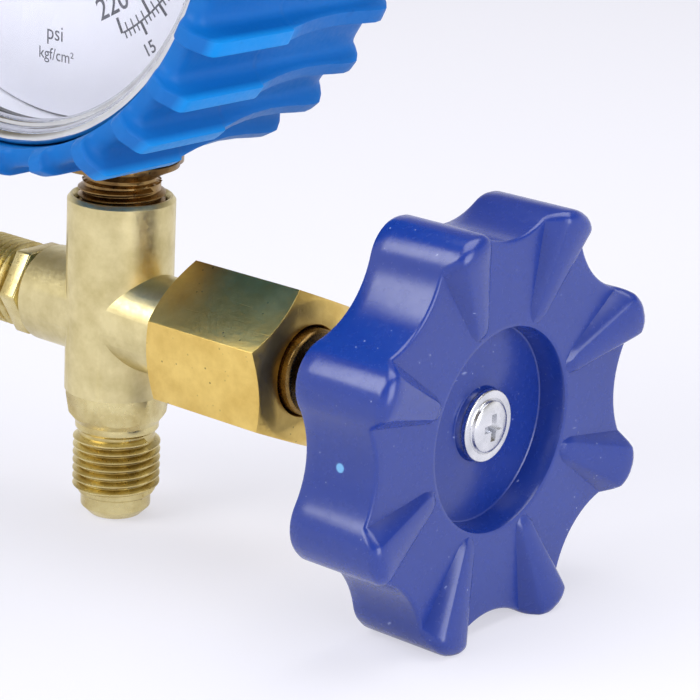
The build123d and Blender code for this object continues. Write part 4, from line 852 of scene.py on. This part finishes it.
close_ends()
prints.append(ring)
for psi in range(0, FULL_PSI + 1, 20):
    prints.append(printed_text(str(psi), 2.6, spot(PSI_R, psi * PER_PSI), upright(psi * PER_PSI)))
for kgf in range(16):
    prints.append(printed_text(str(kgf), 1.5, spot(KGF_R, kgf * PER_KGF + 1.2), upright(kgf * PER_KGF)))
prints.append(printed_text("30", 1.8, spot(PSI_R, VACUUM), upright(VACUUM)))
prints.append(printed_text("psi", 1.9, (-0.2, -22.3), heavier=0.0))
prints.append(printed_text("kgf/cm²", 1.45, (0.05, -24.9), heavier=0.0))
prints.append(printed_text("inHg", 1.3, spot(16.2, -14), heavier=0.0))
scale = joined(*prints, name="printed_scale")
fit(scale, dial_ink, "valve", "dial_white")

studs = []
for side in (-12.5, 12.5):
    stud = lathe("dial_stud", "Y", [(-11.62, 0), (-11.62, 1.3), (-11.95, 1.25), (-12.18, 0.9), (-12.2, 0)],
                 steps=32, edge=0)
    stud.data.transform(Matrix.Translation((side * MM, 0, 0)))
    studs.append(stud)
studs = joined(*studs, name="dial_screw_heads")
fit(studs, zinc_plate, "valve", "steel", "dial_screws")
stop = copy_of("pointer_stop", "pointer_stop_pin")
round_edges(stop, 0.12, 2)
fit(stop, zinc_plate, "valve", "steel", "pointer_stop")


# ---------------------------------------------------------------- pointer
# Stamped aluminium hand with a pressed hub, anodised black, on the end of the pinion's arbor.
black_anodised, tree, shader, place = new_material("black_anodised_aluminium")
# Deep black with a metal's sheen and very fine grain.
plug(tree, shader, Base_Color=blend(tree, noise(tree, place, 0.5, 3.0), "#0c0c0e", "#1d1d21"), Metallic=0.4,
     Roughness=0.4)
hand = copy_of("pointer", "black_pointer")
round_edges(hand, 0.08, 2)
fit(hand, black_anodised, "pointer_body", "black_metal", "pointer")


# ---------------------------------------------------------------- pieces inside
# What the body and the dial hide keeps the CAD shape: movement of stamped brass, bronze tube, steel
# arbors, rubber and copper washers, each in the finish of its kind.
stamped_brass = bare_metal("stamped_brass", "#d8b560", "#b8954a", 0.25, 0.5, drawn=(1, 1, 0.1))
spring_bronze = bare_metal("spring_bronze", "#c08a55", "#94663a", 0.3, 0.5)
soft_copper = bare_metal("soft_copper", "#c77f58", "#98583a", 0.3, 0.5)
# The brass is yellow with upright roll marks, the bronze browner and the copper redder; the rubber is as
# dark as the case's paint and the packing as white as the dial's enamel.
nitrile = black_paint.copy()
nitrile.name = "nitrile_rubber"
packing_ptfe = white_enamel.copy()
packing_ptfe.name = "white_ptfe"
INNER = {
    stamped_brass: ("movement_back_plate", "movement_front_plate", "plate_pillars", "sector_gear", "link",
                    "pinion_arbor"),
    spring_bronze: ("bourdon_tube", "tube_tip", "hairspring"),
    oiled_brass: ("restrictor", "seat_disc", "packing_washer"),
    zinc_plate: ("movement_screws", "sector_arbor"),
    soft_copper: ("bonnet_gasket",),
    nitrile: ("lens_gasket",),
    packing_ptfe: ("stem_packing",),
}
for finish, nodes in INNER.items():
    for node in nodes:
        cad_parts[node].data.materials.clear()
        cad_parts[node].data.materials.append(finish)
